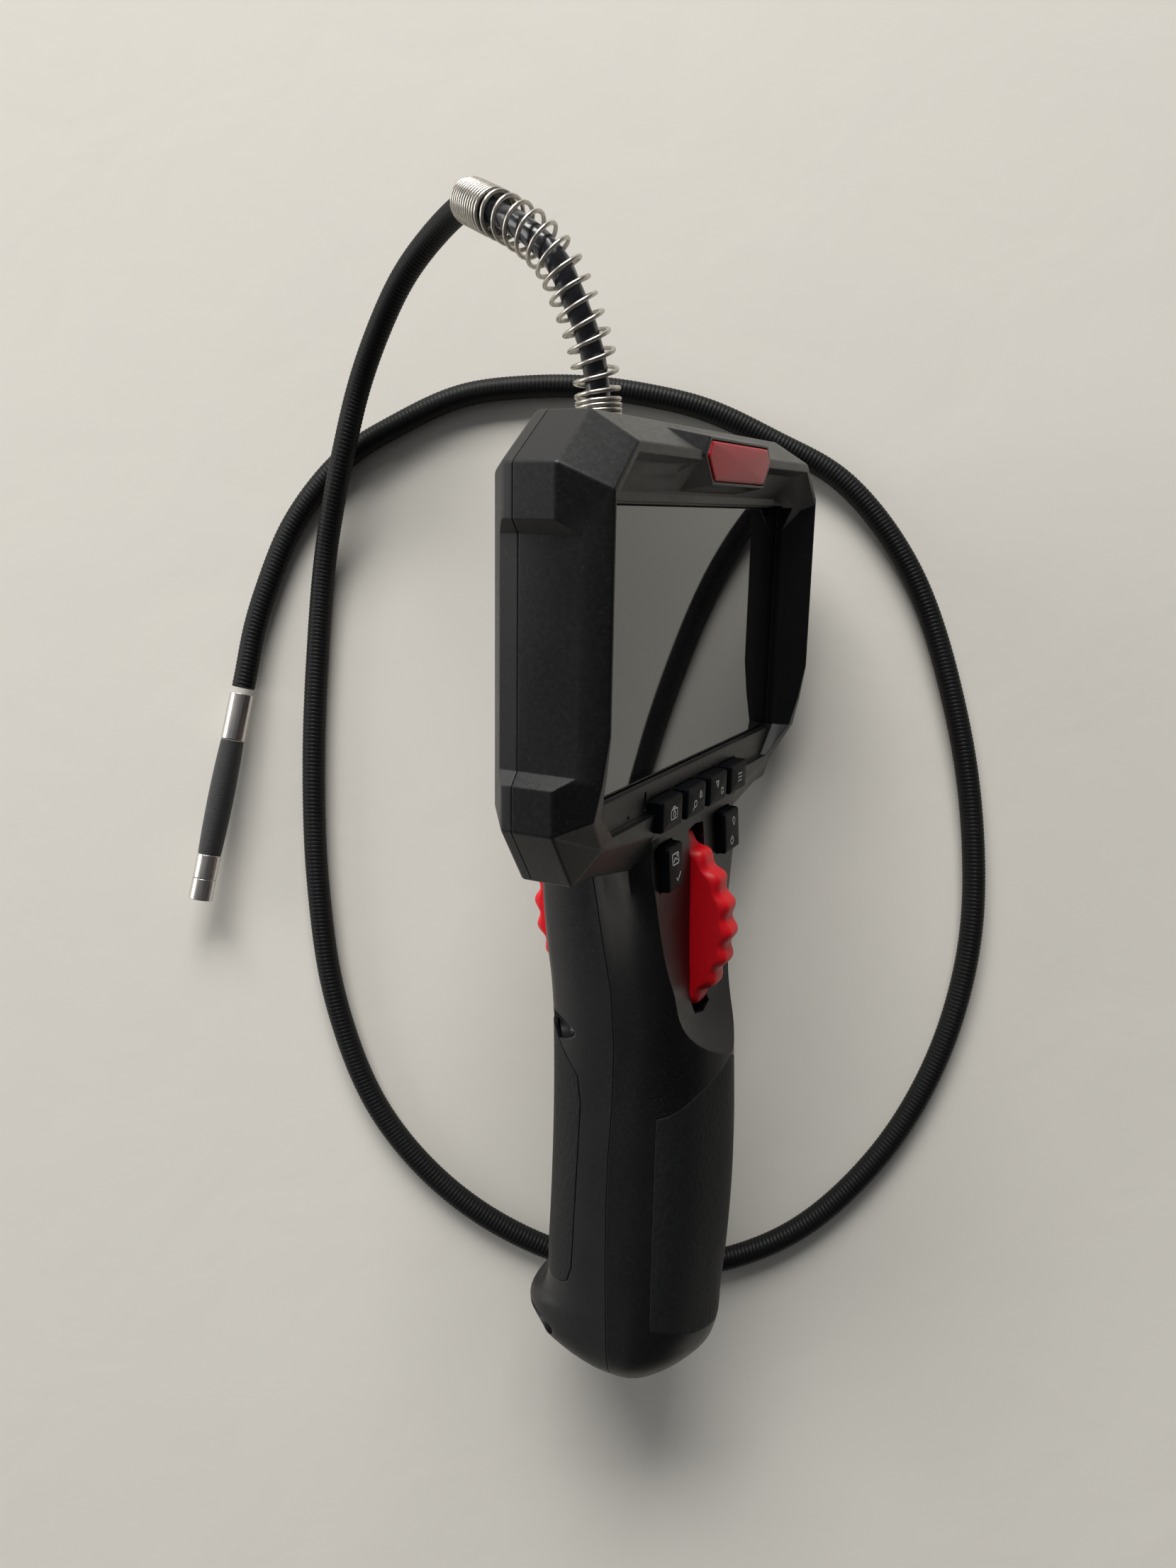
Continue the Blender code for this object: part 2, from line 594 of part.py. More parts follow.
# screen
finish(soften(box("g", -GLASS_HALF_W, GLASS_HALF_W, GLASS_FACE_Y, -7.9, GLASS_BOTTOM, GLASS_TOP), 0.25),
       "screen_glass", "glass", handset)
finish(box("lcd", -56.5, 56.5, -6.9, -4.4, -31.4, 30.4), "lcd_panel", "lcd", handset)
finish(soften(slab("b", [(-19.7, 38.2), (-15.6, 33.3), (15.6, 33.3), (19.7, 38.2), (17.4, 41.1), (-17.4, 41.1)],
                   -19.0, -17.6, "y"), 0.35, 2), "badge_insert", "badge", handset)

# keys: cap, then a wider foot behind the panel
KEY_TRAVEL = 0.8
for kn, (kx, kz, kw, kh) in KEYS.items():
    tall = kh > 9
    cap = box(kn, kx - kw / 2, kx + kw / 2, KEY_FACE_Y, -8.4 if tall else -6.7, kz - kh / 2, kz + kh / 2)
    cap = soften(cap, 0.7, 2)
    if tall:
        boolean(cap, box("foot", kx - kw / 2 + 0.1, kx + kw / 2 - 0.1, -8.6, -8.1, kz - kh / 2 - 0.4, kz + kh / 2 + 0.6),
                "UNION")
        boolean(cap, box("stem", kx - 2.0, kx + 2.0, -8.5, -6.1, kz - 2.5, kz + 2.5), "UNION")
    else:
        boolean(cap, box("foot", kx - kw / 2 - 0.8, kx + kw / 2 + 0.8, -6.85, -6.1, kz - kh / 2 - 0.8, kz + kh / 2 + 0.6),
                "UNION")
    finish(cap, kn, "key", handset, (kx, KEY_FACE_Y, kz))
U_MAT = [(-28, -32.9), (28, -32.9), (28, -41.6), (22.4, -44.5), (21.0, -56.3), (13.0, -56.3), (11.0, -41.4), (-11.0, -41.4),
         (-13.0, -56.3), (-21.0, -56.3), (-22.4, -44.5), (-28, -41.6)]
finish(slab("km", U_MAT, -4.9, -4.1, "y"), "keypad_mat", "membrane", handset)
finish(slab("kb", [(x * 0.95, z + (1.2 if z < -50 else 0.0)) for x, z in U_MAT], -3.7, -2.5, "y"), "key_board", "pcb", handset)

# head electronics and ports
finish(box("mb", -55.0, 55.0, 1.0, 2.4, -29.0, 20.0), "main_board", "pcb", handset)
finish(box("pb", 57.1, 61.4, -5.8, 0.4, -12.4, 14.2), "port_block", "lcd", handset)


def socket(name, z0, z1):
    ob = box(name, 61.8, 64.0, -5.3, -1.7, z0, z1)
    return boolean(ob, box("mouth", 62.6, 66.0, -4.7, -2.3, z0 + 0.6, z1 - 0.6))


finish(socket("usb", 3.0, 12.0), "usb_socket", "steel", handset)
finish(socket("card", -10.8, 0.6), "card_socket", "steel", handset)
finish(soften(box("pc", 64.75, 66.0, -6.9, -0.35, -12.8, 14.8), 0.35), "port_cover", "grip", handset, (65.3, -7.0, 1.0))

# thumb wheel: lobed disc with rounded flanks
n = WHEEL_LOBES * 2
rows = []
for x, inset in ((-4.0, 1.4), (-3.0, 0.0), (3.0, 0.0), (4.0, 1.4)):
    row = []
    for i in range(n):
        a = 2 * math.pi * i / n
        r = WHEEL_R - (0.0 if i % 2 else 1.2) - inset
        row.append((x, WHEEL_Y + r * math.cos(a), WHEEL_Z + r * math.sin(a)))
    rows.append(row)
wheel = loft("wheel", rows)
boolean(wheel, cyl("bore", 1.9, -10, 10, "x", (WHEEL_Y, WHEEL_Z), 20))
finish(wheel, "thumb_wheel", "red", handset, (0, WHEEL_Y, WHEEL_Z), 40.0)
drum_rows = []
for x, r in ((4.3, 9.0), (5.4, 9.0), (5.8, 8.0), (7.0, 8.0), (7.4, 9.0), (8.4, 9.0)):
    drum_rows.append([(x, WHEEL_Y + r * math.cos(2 * math.pi * i / 28), WHEEL_Z + r * math.sin(2 * math.pi * i / 28))
                      for i in range(28)])
drum = loft("drum", drum_rows)
boolean(drum, cyl("bore", 1.9, 0, 12, "x", (WHEEL_Y, WHEEL_Z), 20))
finish(drum, "cable_drum", "pom", handset, (6.35, WHEEL_Y, WHEEL_Z))
finish(cyl("ax", 1.5, -12.6, 12.6, "x", (WHEEL_Y, WHEEL_Z), 16), "wheel_axle", "steel", handset)
finish(ring("bl", 2.7, 1.8, -11.6, -4.4, "x", (WHEEL_Y, WHEEL_Z), 20), "bushing_left", "pom", handset)
finish(ring("br", 2.7, 1.8, 8.75, 11.6, "x", (WHEEL_Y, WHEEL_Z), 20), "bushing_right", "pom", handset)
plate = [(-8.0, -99.6), (14.4, -99.6), (16.2, -90.0), (16.6, -62.0), (8.0, -57.0), (0.0, -57.0), (-7.0, -64.0), (-8.0, -76.0)]
bracket = slab("bk", plate, -10.1, -8.9, "x")
boolean(bracket, slab("bk2", plate, 8.9, 10.1, "x"), "UNION")
boolean(bracket, box("bk3", -9.5, 9.5, -8.0, 14.2, -99.6, -98.2), "UNION")
boolean(bracket, cyl("hole", 3.05, -20, 20, "x", (WHEEL_Y, WHEEL_Z), 20))
finish(bracket, "wheel_bracket", "screw", handset)

# battery in the handle
finish(cyl("bat", 9.1, -168.0, -103.0, "z", (0, 1.0), 28), "battery_cell", "cell", handset)
tray = ring("tr", 10.9, 9.5, -169.8, -101.4, "z", (0, 1.0), 28)
boolean(tray, box("open", -12, 12, -14, 1.5, -180, -100))
finish(tray, "battery_tray", "pom", handset)

# case screws: shank forwards, head at the back, cross recess
for sx, side in ((1, "right"), (-1, "left")):
    for px, pz, nm in CASE_SCREWS:
        y0, y1 = (-6.0, 10.4) if "handle" in nm else (5.9, 12.0)
        sc = cyl("s", 1.15, y0, y1 + 0.5, "y", (sx * px, pz), 8)
        boolean(sc, cyl("h", 2.5, y1, y1 + 1.5, "y", (sx * px, pz), 12), "UNION")
        boolean(sc, box("slot1", sx * px - 1.5, sx * px + 1.5, y1 + 0.8, y1 + 3, pz - 0.25, pz + 0.25))
        boolean(sc, box("slot2", sx * px - 0.25, sx * px + 0.25, y1 + 0.8, y1 + 3, pz - 1.5, pz + 1.5))
        finish(sc, "screw_%s_%s" % (nm, side), "screw", handset)

# ------------------------------------------------------- tube and its spring
# centre lines in millimetres on the table (x, y, height)
SPRING_PATH = [
    (2.0, 93.9, 69.2), (1.2, 98.9, 71.0), (0.2, 102.5, 72.2), (-1.3, 106.5, 73.6), (-4.2, 113.1, 75.2),
    (-5.7, 116.5, 75.7), (-8.1, 120.1, 75.8), (-11.9, 124.3, 74.8), (-16.1, 128.2, 72.4),
    (-19.0, 130.7, 70.0), (-21.8, 133.4, 66.6), (-24.6, 136.3, 62.8), (-27.7, 139.7, 58.0),
]
TUBE_PATH = [
    (-24, 136, 63.4), (-27.5, 139.5, 58), (-37, 139, 43.9), (-47.5, 132, 32.6), (-56, 121, 23),
    (-62.5, 108.5, 16), (-67, 93.5, 12.9), (-71, 78.5, 9.3), (-74.5, 63, 5), (-77, 38.5, 3.4),
    (-78.5, 5, 3.4), (-77.5, -29, 3.4), (-72.5, -63, 3.4), (-59.5, -95.5, 3.4), (-36, -121, 3.4),
    (-5, -137, 3.4), (26, -140.5, 3.4), (58, -131, 3.4), (83.5, -108.5, 3.4), (100.5, -80, 3.4),
    (109.5, -48, 3.4), (110.5, -17, 3.4), (105.5, 19, 3.4), (92, 60.5, 3.4), (72.5, 86, 3.4), (53, 97, 3.4),
    (34, 106, 3.4), (18, 110, 3.4), (0, 112.5, 3.4), (-17, 112.5, 3.4), (-36, 110, 3.4), (-55.5, 101, 3.4),
    (-69, 92.5, 3.4), (-83.5, 74.5, 3.4), (-91.5, 55.5, 3.6), (-95, 44, 3.9), (-97, 32.5, 4.6),
    (-98, 27.5, 4.9),
]
TIP_START = (-100.8, 12.7, 6.2)
TIP_END = (-109.5, -32.1, 9.2)

turn = Euler((LIE_X, LIE_Y, LIE_Z)).to_matrix()


def on_table(p):
    return turn @ Vector(p) + Vector(LIE_POS)


def spline(points, step):
    """Even points along a centripetal curve through the way points."""
    p = [Vector(q) for q in points]
    p = [p[0] * 2 - p[1]] + p + [p[-1] * 2 - p[-2]]
    dense = []
    for i in range(1, len(p) - 2):
        a, b, c, d = p[i - 1:i + 3]
        t0 = 0.0
        t1 = t0 + (b - a).length ** 0.5
        t2 = t1 + (c - b).length ** 0.5
        t3 = t2 + (d - c).length ** 0.5
        for k in range(24):
            t = t1 + (t2 - t1) * k / 24
            A1 = a * ((t1 - t) / (t1 - t0)) + b * ((t - t0) / (t1 - t0))
            A2 = b * ((t2 - t) / (t2 - t1)) + c * ((t - t1) / (t2 - t1))
            A3 = c * ((t3 - t) / (t3 - t2)) + d * ((t - t2) / (t3 - t2))
            B1 = A1 * ((t2 - t) / (t2 - t0)) + A2 * ((t - t0) / (t2 - t0))
            B2 = A2 * ((t3 - t) / (t3 - t1)) + A3 * ((t - t1) / (t3 - t1))
            dense.append(B1 * ((t2 - t) / (t2 - t1)) + B2 * ((t - t1) / (t2 - t1)))
    dense.append(p[-2])
    run = [0.0]
    for a, b in zip(dense, dense[1:]):
        run.append(run[-1] + (b - a).length)
    count = max(2, round(run[-1] / step))
    out, j = [], 0
    for k in range(count + 1):
        s = run[-1] * k / count
        while j < len(run) - 2 and run[j + 1] < s:
            j += 1
        f = (s - run[j]) / max(run[j + 1] - run[j], 1e-9)
        out.append(dense[j].lerp(dense[j + 1], min(max(f, 0), 1)))
    return out


def wire(name, points, radius, res=0):
    cu = bpy.data.curves.new(name, "CURVE")
    cu.dimensions = "3D"
    cu.bevel_depth = radius * MM
    cu.bevel_resolution = res
    cu.use_fill_caps = True
    sp = cu.splines.new("POLY")
    sp.points.add(len(points) - 1)
    for q, p in zip(sp.points, points):
        q.co = (p[0] * MM, p[1] * MM, p[2] * MM, 1)
    tmp = bpy.data.objects.new(name, cu)
    cutters.objects.link(tmp)
    me = evaluated(tmp)
    bpy.data.objects.remove(tmp, do_unlink=True)
    ob = bpy.data.objects.new(name, me)
    cutters.objects.link(ob)
    return tidy(ob)


def frames(path):
    """Tangent and a twist-free side vector at every point of a path."""
    out = []
    side = None
    for i, p in enumerate(path):
        t = (path[min(i + 1, len(path) - 1)] - path[max(i - 1, 0)]).normalized()
        if side is None:
            side = t.orthogonal().normalized()
        side = (side - t * side.dot(t)).normalized()
        out.append((p, t, side))
    return out


exit_low = on_table((0, SPRING_Y, 26.0))
exit_mid = on_table((0, SPRING_Y, 36.0))
exit_top = on_table((0, SPRING_Y, 45.0))
core_path = spline([exit_low, exit_mid, exit_top] + SPRING_PATH, 1.0)
finish(wire("core", core_path[:-12:3] + [core_path[-10]], 2.75, 1), "cable_core", "tube", table)

# strain relief spring: close-wound ends, open middle
fr = frames(core_path)
length = len(fr) - 1
start = 17.2
stations = []
s_now, ang = start, 0.0
CLOSE, OPEN = 1.12, 3.85
N_TURN = 8
end_close = length - 12.6
while s_now < length - 0.3:
    if s_now < start + 7 * CLOSE:
        pitch = CLOSE
    elif s_now < end_close:
        pitch = OPEN if start + 7 * CLOSE + 2.0 < s_now < end_close - 2.0 else 2.6
    else:
        pitch = CLOSE
    stations.append((s_now, ang))
    s_now += pitch / N_TURN
    ang += 2 * math.pi / N_TURN
coil = []
for s_k, a_k in stations:
    i = min(int(s_k), length - 1)
    f = s_k - i
    p = fr[i][0].lerp(fr[i + 1][0], f)
    t = fr[i][1].lerp(fr[i + 1][1], f).normalized()
    u = fr[i][2].lerp(fr[i + 1][2], f)
    u = (u - t * u.dot(t)).normalized()
    v = t.cross(u)
    coil.append(p + (u * math.cos(a_k) + v * math.sin(a_k)) * SPRING_R)
finish(wire("spring", coil, SPRING_WIRE_R, 0), "strain_spring", "nickel", table)
sock = ring("so", 6.1, 3.6, 28.0, 39.0, "z", (0, SPRING_Y), 24)
finish(sock, "tube_socket", "steel", handset)

tube_path = [Vector((p.x, p.y, max(p.z, TABLE_TUBE_Z))) for p in spline(TUBE_PATH, 7.5)]
finish(wire("tube", tube_path, TUBE_R, 1), "insertion_tube", "tube", table, None, 40.0)

# pull wires from the drum to the tube
for nm, pts in (("pull_wire_rear", [(6.35, 13.9, -72), (6.35, 13.9, -55), (5.2, 14.2, -25), (2.2, 15.6, 5), (1.2, 16.0, 23.0)]),
                ("pull_wire_front", [(6.35, -5.9, -72), (6.35, -5.6, -60), (6.1, -2.5, -49), (4.5, 4.6, -36), (0.5, 8.5, -5),
                                     (-1.2, 15.0, 18), (-1.2, 15.8, 23.0)])):
    finish(wire(nm, pts, 0.4, 0), nm, "steel", handset)

# --------------------------------------------------------------- bending tip
tip_dir = (Vector(TIP_END) - Vector(TIP_START)).normalized()
tip_side = Vector((0, 0, 1)).cross(tip_dir).normalized()
tip_up = tip_dir.cross(tip_side).normalized()
tip_rot = Matrix((tip_side, tip_up, tip_dir)).transposed().to_euler("XYZ")
tip = empty("tip_frame", Vector(TIP_START) + base_shift, tip_rot)
HINGE = [1.6, 7.55, 13.5, 19.45, 25.4, 31.35]
COLLAR = 33.0
TIP_LEN = 46.0


def turned(name, profile, seg=16):
    """Solid of revolution about the tip's length; profile is (radius, length)."""
    rows = []
    for r, s in profile:
        rows.append([(r * math.cos(2 * math.pi * i / seg), r * math.sin(2 * math.pi * i / seg), s) for i in range(seg)])
    return loft(name, rows)


finish(turned("f", [(TIP_R - 0.3, -12.9), (TIP_R, -12.6), (TIP_R, -0.3), (TIP_R - 0.3, 0.0), (2.2, 0.0), (0.9, 1.4)], 20),
       "rear_ferrule", "steel", tip)
for i in range(5):
    a, b = HINGE[i], HINGE[i + 1]
    finish(turned("l", [(0.9, a + 0.2), (2.8, a + 0.95), (2.8, b - 0.95), (0.9, b - 0.2)], 12),
           "bend_link_%d" % (i + 1), "knit", tip, (0, 0, a))
h = HINGE[5]
finish(turned("cb", [(0.9, h + 0.2), (2.2, COLLAR), (TIP_R - 0.2, COLLAR), (TIP_R, COLLAR + 0.2), (TIP_R, 39.6), (TIP_R - 0.1, 39.7)], 20),
       "camera_barrel", "steel", tip, (0, 0, h))
nose = turned("cn", [(TIP_R - 0.1, 40.0), (TIP_R, 40.1), (TIP_R, TIP_LEN - 0.3), (TIP_R - 0.3, TIP_LEN)], 20)
boolean(nose, cyl("mouth", 2.6, 44.6, 50.0, "z", (0, 0), 20))
finish(nose, "camera_nose", "steel", tip, (0, 0, h))
finish(ring("ld", 2.3, 1.4, 44.9, 45.5, "z", (0, 0), 20), "led_ring", "led", tip, (0, 0, h))
finish(cyl("ln", 1.0, 44.9, 45.7, "z", (0, 0), 16), "lens_window", "lens", tip, (0, 0, h))

for c in cutters.objects:
    c.hide_render = True
    c.display_type = "WIRE"
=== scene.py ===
# An articulating inspection camera: a handset with a screen, keys and a thumb wheel, and a
# long ribbed cable that ends in a bending steel tip, all lying on a table.
# Handset pieces are drawn in the handset's own frame in millimetres: x right, y back (the
# screen faces -y), z up from the handle to the head. One matrix lays them on the table.
# Cable pieces are drawn in table millimetres, tip pieces along the tip's own z axis.
import bpy
import bmesh
import math
import numpy as np
from mathutils import Vector, Matrix, Euler
from mathutils.bvhtree import BVHTree

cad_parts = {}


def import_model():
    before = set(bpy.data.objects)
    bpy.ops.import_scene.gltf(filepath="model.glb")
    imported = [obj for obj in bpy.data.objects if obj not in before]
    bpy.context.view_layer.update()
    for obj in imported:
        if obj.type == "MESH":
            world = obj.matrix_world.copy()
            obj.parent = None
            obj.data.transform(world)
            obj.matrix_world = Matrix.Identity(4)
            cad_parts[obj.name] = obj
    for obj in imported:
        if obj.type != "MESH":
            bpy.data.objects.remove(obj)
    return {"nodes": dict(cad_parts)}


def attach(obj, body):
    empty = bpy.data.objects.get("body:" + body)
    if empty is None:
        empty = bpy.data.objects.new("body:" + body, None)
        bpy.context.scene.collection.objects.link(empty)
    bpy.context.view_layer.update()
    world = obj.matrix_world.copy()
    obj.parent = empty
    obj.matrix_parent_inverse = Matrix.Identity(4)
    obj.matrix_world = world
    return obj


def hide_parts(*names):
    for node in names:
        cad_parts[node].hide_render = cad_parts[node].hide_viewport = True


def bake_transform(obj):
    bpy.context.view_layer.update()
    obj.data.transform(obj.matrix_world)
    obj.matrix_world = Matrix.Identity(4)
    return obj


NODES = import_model()["nodes"]
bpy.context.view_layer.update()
SCENE = bpy.context.scene

MM = 0.001
WALL = 2.3          # case wall
GAP = 0.22          # clearance round keys, glass and rear grip
PART_GAP = 0.2      # seam between the case halves
GLASS_HALF_W, GLASS_TOP, GLASS_BOTTOM, GLASS_FACE_Y = 55.0, 28.0, -29.5, -9.3
WHEEL_Y, WHEEL_Z, WHEEL_R, WHEEL_HALF_T = 4.0, -70.0, 26.7, 4.0
KEY_FACE_Y = -14.6
SPRING_R, SPRING_WIRE_R, SPRING_Y = 4.95, 0.5, 16.0

# How the handset lies on the table; BASE shifts the whole product.
BASE = Vector((-0.52, 3.67, -0.17))
LIE_POS = Vector((16.02, 38.17, 65.82))
LIE_TURN = Euler([math.radians(a) for a in (-66.458, 61.361, 19.867)]).to_matrix()
HAND = Matrix.Translation((LIE_POS + BASE) * MM) @ LIE_TURN.to_4x4()
TABLE = Matrix.Translation(BASE * MM)


# ------------------------------------------------------------ mesh helpers
def new_object(data, name="part"):
    ob = bpy.data.objects.new(name, data)
    SCENE.collection.objects.link(ob)
    return ob


def bmesh_of(mesh):
    bm = bmesh.new()
    bm.from_mesh(mesh)
    return bm


def write_outward(bm, mesh):
    """Writes bm into mesh with its faces turned outward."""
    bm.normal_update()
    bmesh.ops.recalc_face_normals(bm, faces=bm.faces)
    if bm.calc_volume(signed=True) < 0:
        bmesh.ops.reverse_faces(bm, faces=bm.faces)
    bm.to_mesh(mesh)
    bm.free()


def object_from(bm):
    mesh = bpy.data.meshes.new("part")
    write_outward(bm, mesh)
    return new_object(mesh)


def evaluated(ob):
    bpy.context.view_layer.update()
    depsgraph = bpy.context.evaluated_depsgraph_get()
    return bpy.data.meshes.new_from_object(ob.evaluated_get(depsgraph))


def bake(ob):
    """Applies the object's modifiers."""
    mesh, old = evaluated(ob), ob.data
    ob.modifiers.clear()
    ob.data = mesh
    bpy.data.meshes.remove(old)
    return ob


def tidy(ob, dist=0.00001):
    """Welds close points and drops slivers, doubled faces and loose points."""
    bm = bmesh_of(ob.data)
    bmesh.ops.remove_doubles(bm, verts=bm.verts, dist=dist)
    bmesh.ops.dissolve_degenerate(bm, edges=bm.edges, dist=dist)
    same = {}
    for face in bm.faces:
        same.setdefault(frozenset(face.verts), []).append(face)
    flaps = [face for group in same.values() if len(group) == 2 for face in group]
    if flaps:
        bmesh.ops.delete(bm, geom=flaps, context="FACES")
    loose = [v for v in bm.verts if not v.link_faces]
    if loose:
        bmesh.ops.delete(bm, geom=loose, context="VERTS")
    write_outward(bm, ob.data)
    return ob


def boolean(ob, tool, operation="DIFFERENCE"):
    """Applies tool to ob and removes the tool."""
    modifier = ob.modifiers.new("bool", "BOOLEAN")
    modifier.solver = "EXACT"
    modifier.operation = operation
    modifier.object = tool
    bake(ob)
    bpy.data.objects.remove(tool, do_unlink=True)
    return ob


def soften(ob, width, angle):
    modifier = ob.modifiers.new("bevel", "BEVEL")
    modifier.width = width * MM
    modifier.segments = 2
    modifier.limit_method = "ANGLE"
    modifier.angle_limit = math.radians(angle)
    modifier.use_clamp_overlap = True
    return bake(ob)


def oriented(axis, a, b, height):
    """A point with its height along the axis and (a, b) on the other two."""
    return {"x": (height, a, b), "y": (a, height, b), "z": (a, b, height)}[axis]


def slab(outline, low, high, axis="y"):
    """Flat plate of an outline, from low to high along the axis."""
    curve = bpy.data.curves.new("part", "CURVE")
    curve.dimensions = "2D"
    curve.fill_mode = "BOTH"
    curve.extrude = (high - low) / 2 * MM
    line = curve.splines.new("POLY")
    line.points.add(len(outline) - 1)
    for point, (a, b) in zip(line.points, outline):
        point.co = (a * MM, b * MM, 0, 1)
    line.use_cyclic_u = True
    flat = new_object(curve)
    mesh = evaluated(flat)
    bpy.data.objects.remove(flat, do_unlink=True)
    middle = (low + high) / 2 * MM
    for v in mesh.vertices:
        a, b, height = v.co
        v.co = oriented(axis, a, b, height + middle)
    return tidy(new_object(mesh))


def box(*spans):
    """Box from its (low, high) spans on x, y and z."""
    bm = bmesh.new()
    bmesh.ops.create_cube(bm, size=1.0)
    for v in bm.verts:
        v.co = [span[c > 0] * MM for c, span in zip(v.co, spans)]
    return object_from(bm)


def cylinder(radius, low, high, axis, centre, segments):
    bm = bmesh.new()
    bmesh.ops.create_cone(bm, cap_ends=True, segments=segments, radius1=radius * MM,
                          radius2=radius * MM, depth=(high - low) * MM)
    for v in bm.verts:
        a, b, height = v.co
        height += (low + high) / 2 * MM
        v.co = oriented(axis, a + centre[0] * MM, b + centre[1] * MM, height)
    return object_from(bm)


def loft(rings, triangles=True):
    """Closed skin through rings of points; a flat end gets one face, a bent one a fan."""
    bm = bmesh.new()
    rows = [[bm.verts.new(Vector(p) * MM) for p in ring] for ring in rings]
    count = len(rows[0])
    for a, b in zip(rows, rows[1:]):
        for i in range(count):
            j = (i + 1) % count
            bm.faces.new((a[i], a[j], b[j], b[i]))
    sides = list(bm.faces)
    for row, flip in ((rows[0], True), (rows[-1], False)):
        if any(max(v.co[k] for v in row) - min(v.co[k] for v in row) < 1e-7 for k in range(3)):
            bm.faces.new(row[::-1] if flip else row)
        else:
            middle = bm.verts.new(sum((v.co for v in row), Vector()) / count)
            for i in range(count):
                bm.faces.new((row[i], row[(i + 1) % count], middle))
    if triangles:
        bmesh.ops.triangulate(bm, faces=sides)
    return object_from(bm)


def mirror_ring(half):
    """Closes a half outline, which starts and ends on x = 0, with its mirror image."""
    return list(half) + [(-p[0], *p[1:]) for p in reversed(half[1:-1])]


# ----------------------------------------------------------- curve helpers
def catmull_rom(knots, points, where, periodic=False):
    """Catmull-Rom curve through points at the knots, sampled at where."""
    knots, points, where = (np.asarray(v, float) for v in (knots, points, where))
    if periodic:
        span = knots[-1] - knots[0]
        knots = np.concatenate((knots[-3:-1] - span, knots, knots[1:3] + span))
        points = np.concatenate((points[-3:-1], points, points[1:3]))
    step = np.diff(knots)[:, None]
    slope = np.diff(points, axis=0) / step
    tangent = np.empty_like(points)
    tangent[1:-1] = (slope[:-1] * step[1:] + slope[1:] * step[:-1]) / (step[:-1] + step[1:])
    tangent[0], tangent[-1] = slope[0], slope[-1]
    k = np.clip(np.searchsorted(knots, where, side="right") - 1, 0, len(knots) - 2)
    width = step[k]
    u = (where - knots[k])[:, None] / width
    return ((2 * u ** 3 - 3 * u ** 2 + 1) * points[k]
            + (u ** 3 - 2 * u ** 2 + u) * width * tangent[k]
            + (-2 * u ** 3 + 3 * u ** 2) * points[k + 1]
            + (u ** 3 - u ** 2) * width * tangent[k + 1])


def curve_value(table, x):
    """Smooth value at x of a table of (x, value)."""
    xs = [row[0] for row in table]
    return float(catmull_rom(xs, [[row[1]] for row in table], [min(max(x, xs[0]), xs[-1])])[0, 0])


def smooth_ring(points, count):
    """Even points on a smooth closed curve through the given ones."""
    closed = np.array(list(points) + [points[0]], float)
    steps = np.sqrt(np.linalg.norm(np.diff(closed, axis=0), axis=1))
    knots = np.concatenate(([0], np.cumsum(steps)))
    dense = catmull_rom(knots, closed, np.linspace(knots[0], knots[-1], count * 6 + 1), True)
    run = np.concatenate(([0], np.cumsum(np.linalg.norm(np.diff(dense, axis=0), axis=1))))
    where = np.arange(count) * run[-1] / count
    return np.stack([np.interp(where, run, column) for column in dense.T], axis=1)


def corners(polygon):
    """Each corner with the ones before and after it."""
    count = len(polygon)
    for i in range(count):
        yield [Vector(polygon[(i + k) % count]) for k in (-1, 0, 1)]


def rounded(polygon, radius, steps=5):
    """Polygon with its corners rounded."""
    out = []
    for before, corner, after in corners(polygon):
        back, ahead = (before - corner).normalized(), (after - corner).normalized()
        half_tan = math.tan(back.angle(ahead) / 2)
        reach = min(radius / half_tan, (before - corner).length * 0.45,
                    (after - corner).length * 0.45)
        to_centre = reach * half_tan / math.sin(back.angle(ahead) / 2)
        centre = corner + (back + ahead).normalized() * to_centre
        start, end = corner + back * reach - centre, corner + ahead * reach - centre
        turn = start.angle(end)
        for k in range(steps + 1):
            f = k / steps
            spoke = start * math.sin((1 - f) * turn) + end * math.sin(f * turn)
            spoke = spoke / math.sin(turn)
            out.append((centre.x + spoke.x, centre.y + spoke.y))
    return out


def inset(polygon, depth):
    """Polygon moved inward by depth, or outward where depth is negative."""
    area = sum(polygon[i - 1][0] * polygon[i][1] - polygon[i][0] * polygon[i - 1][1]
               for i in range(len(polygon)))
    side = 1 if area > 0 else -1
    out = []
    for before, corner, after in corners(polygon):
        a, b = (corner - before).normalized(), (after - corner).normalized()
        normal = Vector((-a.y, a.x))
        mitre = (normal + Vector((-b.y, b.x))).normalized()
        k = depth / max(mitre.dot(normal), 0.6)
        out.append((corner.x + mitre.x * k * side, corner.y + mitre.y * k * side))
    return out


def pillow(outline, back, face, fillet, crown, draft=0.0, axis="y", rings=4):
    """Moulded cap: walls from back to face, a rounded edge, and a slightly domed top."""
    sign = 1 if face > back else -1
    top = face - sign * fillet
    rows = [(inset(outline, 0.0), back)]
    for k in range(rings + 1):
        angle = math.pi / 2 * k / rings
        rows.append((inset(outline, draft + fillet * (1 - math.cos(angle))),
                     top + sign * fillet * math.sin(angle) * 0.999))
    rim = rows[-1][0]
    mid_a, mid_b = (sum(p[k] for p in rim) / len(rim) for k in (0, 1))
    for f in (0.8, 0.55, 0.3, 0.1):
        rows.append(([(mid_a + (a - mid_a) * f, mid_b + (b - mid_b) * f) for a, b in rim],
                     face + sign * crown * (1 - f * f)))
    return loft([[oriented(axis, a, b, height) for a, b in ring] for ring, height in rows],
                triangles=False)


